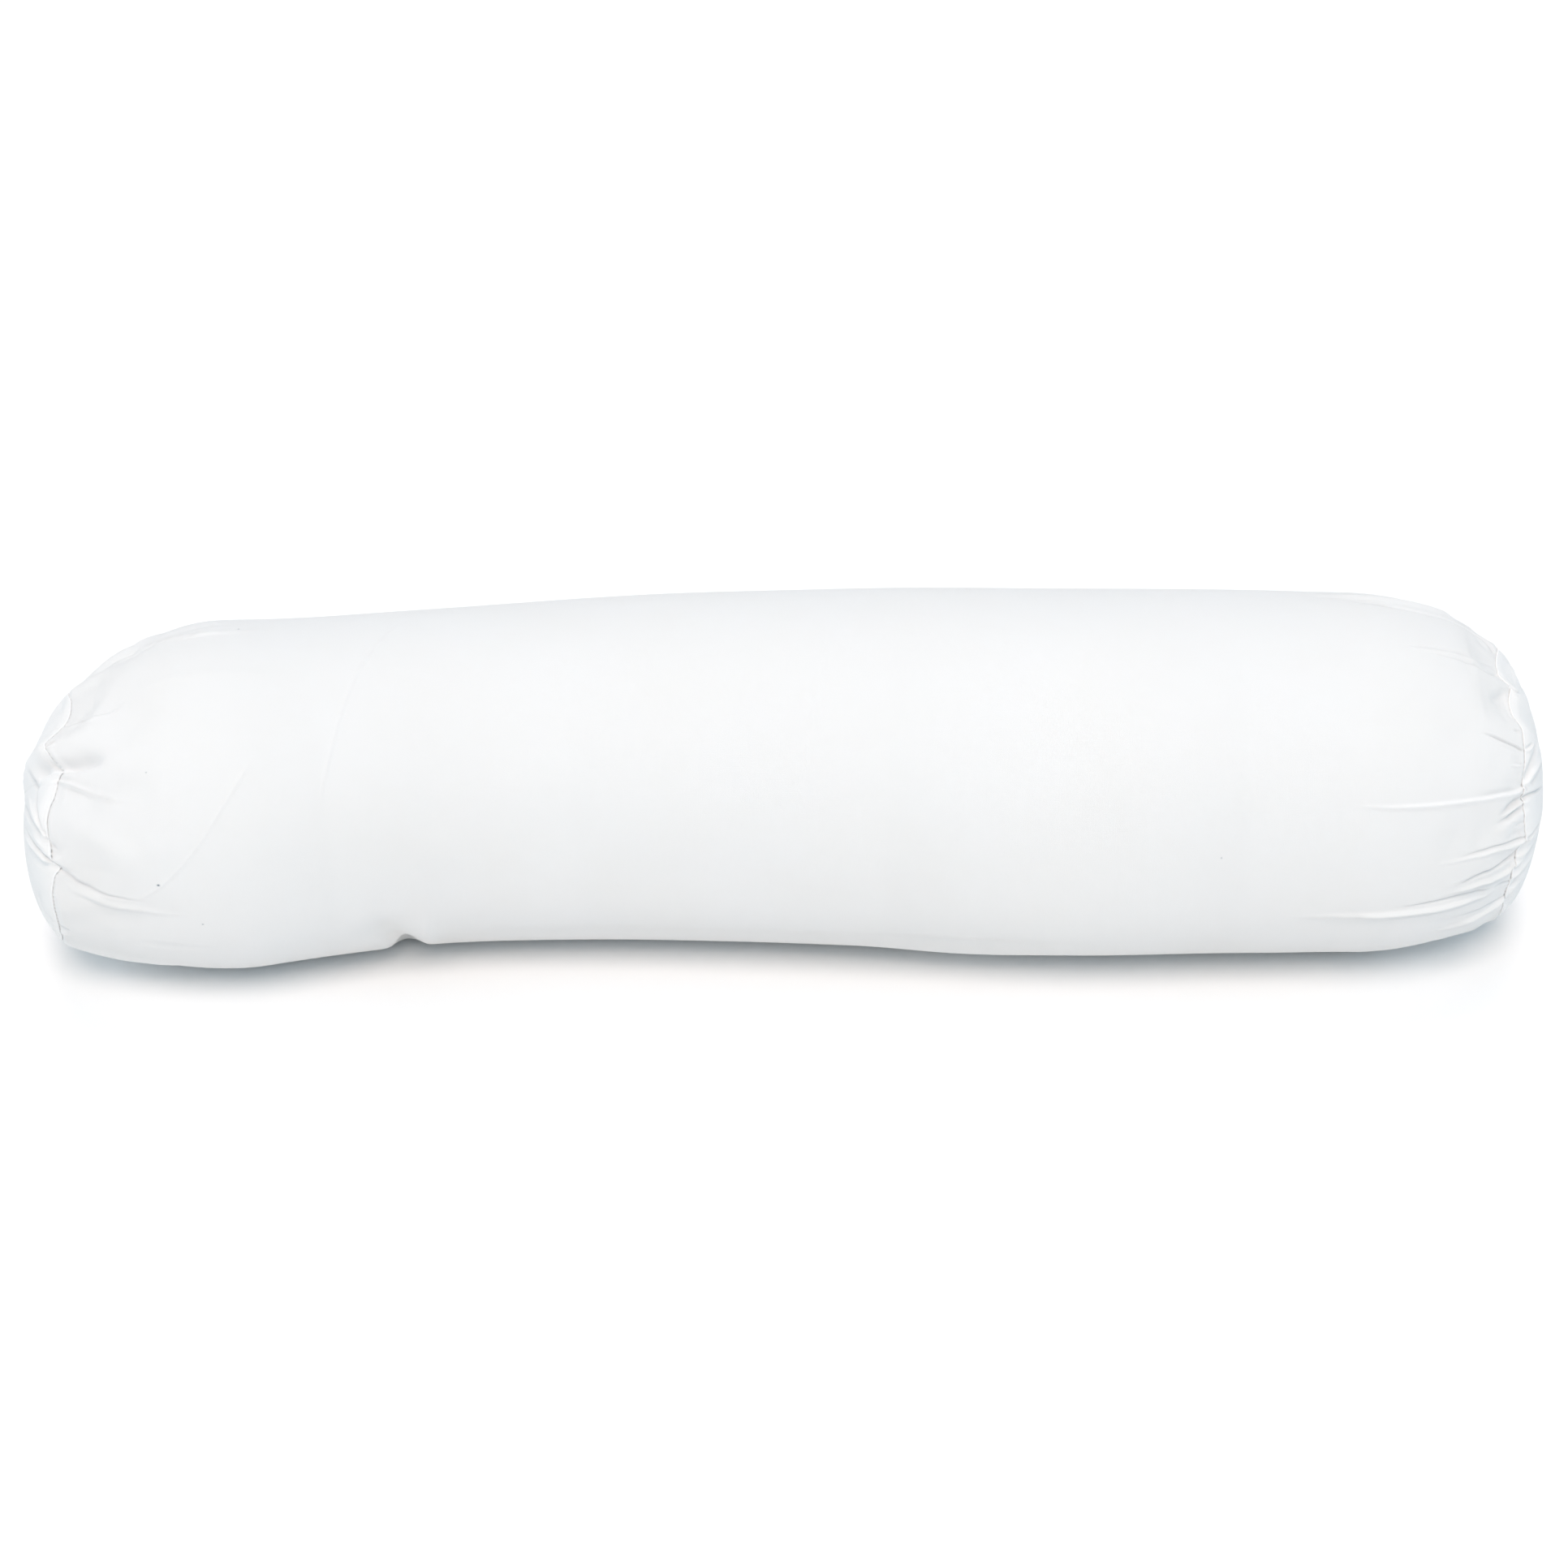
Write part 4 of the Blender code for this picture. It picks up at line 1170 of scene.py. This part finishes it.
class Shade:
    """A number that changes over a surface: arithmetic on it adds Math nodes."""

    def __init__(self, finish, socket):
        self.finish = finish
        self.socket = socket

    def maths(self, operation, *values):
        inputs = dict(enumerate(values))
        node = self.finish.node("ShaderNodeMath", {"operation": operation}, inputs)
        return Shade(self.finish, node.outputs[0])

    def __add__(self, other):
        return self.maths("ADD", self, other)

    __radd__ = __add__

    def __sub__(self, other):
        return self.maths("SUBTRACT", self, other)

    def __rsub__(self, other):
        return self.maths("SUBTRACT", other, self)

    def __mul__(self, other):
        return self.maths("MULTIPLY", self, other)

    __rmul__ = __mul__

    def __truediv__(self, other):
        return self.maths("DIVIDE", self, other)

    def __pow__(self, other):
        return self.maths("POWER", self, other)

    def clamped(self, low=0.0, high=1.0):
        return self.maths("MINIMUM", self.maths("MAXIMUM", self, low), high)

    def sine(self):
        return self.maths("SINE", self)

    def bell(self, width):
        """1 where this is 0, fading with the distance from it."""
        return self.maths("EXPONENT", (self / width) ** 2.0 * -1.0)


class Finish:
    """The nodes of one material."""

    def __init__(self, name):
        self.material = bpy.data.materials.new(name)
        self.material.use_nodes = True
        self.tree = self.material.node_tree
        self.tree.nodes.clear()

    def node(self, kind, settings, values):
        node = self.tree.nodes.new(kind)
        for name, value in settings.items():
            setattr(node, name, value)
        for name, value in values.items():
            if isinstance(value, Shade):
                self.tree.links.new(value.socket, node.inputs[name])
            else:
                node.inputs[name].default_value = value
        return node

    def out(self, node, name):
        return Shade(self, node.outputs[name])

    def cloth_places(self):
        """The place along and across the flat cloth, in metres, and both together."""
        flat = self.out(self.node("ShaderNodeUVMap", {"uv_map": "cloth"}, {}), "UV")
        parts = self.node("ShaderNodeSeparateXYZ", {}, {0: flat})
        return self.out(parts, "X"), self.out(parts, "Y"), flat

    def stretched(self, vector, stretch):
        """Places multiplied axis by axis."""
        node = self.node("ShaderNodeVectorMath", {"operation": "MULTIPLY"}, {0: vector, 1: stretch})
        return self.out(node, "Vector")

    def noise(self, vector, scale, detail=2.0, roughness=0.5):
        values = {"Vector": vector, "Scale": scale, "Detail": detail, "Roughness": roughness}
        return self.out(self.node("ShaderNodeTexNoise", {}, values), "Fac")

    def mixed(self, share, first, second):
        """A colour that goes from the first to the second as the share goes from 0 to 1."""
        node = self.node("ShaderNodeMix", {"data_type": "RGBA"}, {"Factor": share})
        colour_sockets = [socket for socket in node.inputs if socket.type == "RGBA"]
        for socket, colour in zip(colour_sockets, (first, second)):
            if isinstance(colour, Shade):
                self.tree.links.new(colour.socket, socket)
            else:
                socket.default_value = (*colour, 1)
        return Shade(self, next(s for s in node.outputs if s.type == "RGBA"))

    def bumped(self, height):
        """The normals of a surface that stands up by a height in metres."""
        values = {"Height": height, "Distance": 1.0, "Strength": 1.0}
        return self.out(self.node("ShaderNodeBump", {}, values), "Normal")

    def object_places(self):
        return self.out(self.node("ShaderNodeTexCoord", {}, {}), "Object")

    def mask(self, name):
        """A number that the mesh keeps for each of its points."""
        return self.out(self.node("ShaderNodeAttribute", {"attribute_name": name}, {}), "Fac")

    def covered(self, values):
        """The finished material, whose shader has these values."""
        shader = self.node("ShaderNodeBsdfPrincipled", {}, values)
        self.node("ShaderNodeOutputMaterial", {}, {"Surface": self.out(shader, "BSDF")})
        return self.material


WHITE = (0.875, 0.875, 0.870)  # of the bleached cotton
WARMER_WHITE = (0.862, 0.857, 0.842)
# painted shade: a grey mixed into the cotton's colour where it lies hollow, in creases and seam
# grooves
PAINTED_SHADE_IN_CREASES = (0.68, 0.68, 0.69)
CREASE_PAINTED_SHARE = 0.7  # how much of that painted shade the deepest creases take
DOUBLED_WHITE = (0.93, 0.93, 0.93)  # of the seams' edges, where two layers lie together
THREAD_WHITE = (0.87, 0.87, 0.86)
FLECK_GREY = (0.06, 0.12, 0.17)
THREAD_PITCH = 0.45 * MM  # of the weave
WEAVE_HEIGHT = 0.05 * MM
SLUB_HEIGHT = 0.08 * MM
LONG_SLUBS = (40, 1800, 1)  # of the thicker threads along the cloth: noise cells for each metre
CROSS_SLUBS = (1800, 40, 1)  # and of those across it
CRUMPLE_HEIGHT = 0.55 * MM
CRUMPLE_SCALE = 26.0  # noise cells for each metre, as in the scales below
MOTTLE_SCALE = 9.0  # of the soft change between the two whites
MOTTLE_FROM = 0.35  # the noise at which it begins
MOTTLE_GAIN = 2.2
COTTON_ROUGHNESS = 0.84
ROUGHNESS_SPREAD = 0.12
COTTON_SPECULAR = 0.25
SHEEN = 0.12
SHEEN_ROUGHNESS = 0.45
TWIST_SCALE = 2600.0  # of the sewing thread's twist
TWIST_HEIGHT = 0.08 * MM
THREAD_ROUGHNESS = 0.62
THREAD_ROUGHNESS_SPREAD = 0.1
THREAD_SPECULAR = 0.35
THREAD_SHEEN = 0.1

# One row for each press crease left by folding and packing: the end it is counted from, its
# height and width in mm, and its line as places (inside in mm, clock).
CREASES = (
    ("left", 0.35, 1.6, ((156, 30), (160, 38), (166, 46), (173, 55), (181, 63), (189, 73),
                         (197, 82), (210, 91), (222, 100))),
    ("left", 0.42, 1.7, ((43, -3), (50, 1.5), (59, 6.5), (66, 11), (80, 18), (90, 26), (99, 34),
                         (106, 39), (117, 45))),
    ("right", 0.22, 2.4, ((443, 87), (446, 74), (449, 59), (453, 46), (456, 33), (459, 21))),
)
CREASE_FADE = 0.12  # share of a crease's length over which each end fades

# One row for each dark fleck in the cotton: its place along and across the flat cloth and its
# radius in mm, and how dark it is, from 0 to 1.
FLECKS = (
    (-414.7, 93.9, 0.5, 0.35),
    (-413.0, 12.4, 0.75, 0.95),
    (-392.0, -21.4, 0.5, 0.55),
    (-349.0, 212.0, 0.6, 0.6),
    (266.3, 17.1, 0.6, 0.35),
)


def crease_relief(along, across, row):
    """One press crease, on a cubic curve fitted to its places."""
    end, height, width, line = row
    places = np.array(line, float)
    far_along = side_of(end) * (SEAM_REACH - places[:, 0] * MM)
    far_across = np.radians(places[:, 1]) * GIRTH_RADIUS
    cube, square, slope, start = np.polyfit(far_across, far_along, 3).tolist()
    curve = ((across * cube + square) * across + slope) * across + start
    off = along - curve
    low = float(far_across.min())
    high = float(far_across.max())
    fade = CREASE_FADE * (high - low)
    present = ((across - low) / fade).clamped() * ((high - across) / fade).clamped()
    return off.bell(width * MM) * present * (height * MM)


def cotton(name, of_body):
    """Fine white cotton, with shade painted into its creases and seam grooves. The body's also has the
    press creases and the flecks.
    """
    finish = Finish(name)
    along, across, flat = finish.cloth_places()
    turn = 2 * math.pi / THREAD_PITCH
    weave = (along * turn).sine() * (across * turn).sine() * WEAVE_HEIGHT
    long_slubs = finish.noise(finish.stretched(flat, LONG_SLUBS), 1.0, detail=3.0, roughness=0.6)
    cross_slubs = finish.noise(finish.stretched(flat, CROSS_SLUBS), 1.0, detail=3.0, roughness=0.6)
    slubs = (long_slubs + cross_slubs) * SLUB_HEIGHT
    place = finish.object_places()
    crumple = finish.noise(place, CRUMPLE_SCALE, detail=4.0, roughness=0.55) * CRUMPLE_HEIGHT
    height = weave + slubs + crumple
    if of_body:
        for row in CREASES:
            height = height + crease_relief(along, across, row)
    mottle = finish.noise(place, MOTTLE_SCALE, detail=3.0, roughness=0.6)
    colour = finish.mixed((mottle - MOTTLE_FROM) * MOTTLE_GAIN, WHITE, WARMER_WHITE)
    # painted shade, darkest in the deepest creases and in the grooves of open seams
    painted_shade_share = (finish.mask("hollow_shade") * CREASE_PAINTED_SHARE).clamped()
    colour = finish.mixed(painted_shade_share, colour, PAINTED_SHADE_IN_CREASES)
    if of_body:
        for fleck_along, fleck_across, radius, strength in FLECKS:
            lengthways = (along - fleck_along * MM).bell(radius * MM)
            spot = lengthways * (across - fleck_across * MM).bell(radius * MM)
            colour = finish.mixed(spot * strength, colour, FLECK_GREY)
    else:
        colour = finish.mixed(finish.mask("doubled"), colour, DOUBLED_WHITE)
    return finish.covered({
        "Base Color": colour,
        "Roughness": COTTON_ROUGHNESS + (long_slubs - 0.5) * ROUGHNESS_SPREAD,
        "Normal": finish.bumped(height),
        "Specular IOR Level": COTTON_SPECULAR,
        "Sheen Weight": SHEEN,
        "Sheen Roughness": SHEEN_ROUGHNESS,
    })


def sewing_thread():
    """White cotton thread with a fine twist."""
    finish = Finish("sewing_thread")
    twist = finish.noise(finish.object_places(), TWIST_SCALE)
    return finish.covered({
        "Base Color": finish.mixed(twist, THREAD_WHITE, WARMER_WHITE),
        "Roughness": THREAD_ROUGHNESS + twist * THREAD_ROUGHNESS_SPREAD,
        "Normal": finish.bumped(twist * TWIST_HEIGHT),
        "Specular IOR Level": THREAD_SPECULAR,
        "Sheen Weight": THREAD_SHEEN,
    })


body_cotton = cotton("body_cotton", True)
panel_cotton = cotton("end_panel_cotton", False)
thread = sewing_thread()
body.data.materials.append(body_cotton)
for end in ENDS:
    panels[end].data.materials.append(panel_cotton)
    seams[end].data.materials.clear()
    seams[end].data.materials.append(thread)

# ---------------------------------------------------------------- what stands for which solid

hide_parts("body")
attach(body, "root")
for end in ENDS:
    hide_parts(f"end_panel_{end}")
    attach(panels[end], "root")
    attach(seams[end], "root")

# ---------------------------------------------------------------- floor, light and camera

FLOOR_SIZE = 200.0
FLOOR_DROP = 0.2 * MM  # below the surface that the pillow rests on
FLOOR_WHITE = (0.95, 0.95, 0.95)
FLOOR_ROUGHNESS = 0.9
FLOOR_ROUGHNESS_SPREAD = 0.05
FLOOR_SCALE = 40.0  # of the change in its roughness

bpy.ops.object.select_all(action="DESELECT")
bpy.ops.mesh.primitive_plane_add(size=FLOOR_SIZE, location=(0, 0, -FLOOR_DROP))
floor = bpy.context.object
floor.name = "floor"
paper = Finish("floor_paper")
grain = paper.noise(paper.object_places(), FLOOR_SCALE)
floor.data.materials.append(paper.covered({
    "Base Color": (*FLOOR_WHITE, 1),
    "Roughness": FLOOR_ROUGHNESS + grain * FLOOR_ROUGHNESS_SPREAD,
    "Specular IOR Level": 0.0,
}))

scene = bpy.context.scene
scene.view_settings.view_transform = "Standard"

SKY_COLOUR = (0.433, 0.490, 0.520)
world = bpy.data.worlds.new("studio")
world.use_nodes = True
world.node_tree.nodes["Background"].inputs["Color"].default_value = (*SKY_COLOUR, 1)
scene.world = world

# One row for each softbox: its name, its colour and strength, how soft it is, how high it
# stands and how far it is turned round from the front, in degrees.
SOFTBOXES = (
    ("front_softbox", (0.514, 0.431, 0.382), 28, 60, 0),
    ("back_softbox", (0.222, 0.203, 0.207), 30, 70, 180),
    ("left_softbox", (0.1, 0.142, 0.173), 40, 30, -75),
    ("right_softbox", (0.045, 0.097, 0.135), 40, 30, 75),
)
for name, colour, softness, high, turn in SOFTBOXES:
    lamp = bpy.data.lights.new(name, "SUN")
    lamp.color = colour
    lamp.energy = math.pi  # so that a colour of 1 lights a white surface that faces it fully
    lamp.angle = math.radians(softness)
    light = linked(name, lamp)
    light.rotation_euler = (math.radians(90 - high), 0, math.radians(turn))

CAMERA_HEIGHT = math.radians(35)  # above the horizon
CAMERA_DISTANCE = 2.10
CAMERA_TARGET = Vector((-0.0025, 0, 0.0987))
CAMERA_LENS = 73  # in mm, as is the width of its sensor
CAMERA_SENSOR = 36
camera = linked("camera", bpy.data.cameras.new("camera"))
camera.data.lens = CAMERA_LENS
camera.data.sensor_width = CAMERA_SENSOR
away = Vector((0, -math.cos(CAMERA_HEIGHT), math.sin(CAMERA_HEIGHT)))
camera.location = CAMERA_TARGET + away * CAMERA_DISTANCE
camera.rotation_euler = (math.pi / 2 - CAMERA_HEIGHT, 0, 0)
scene.camera = camera
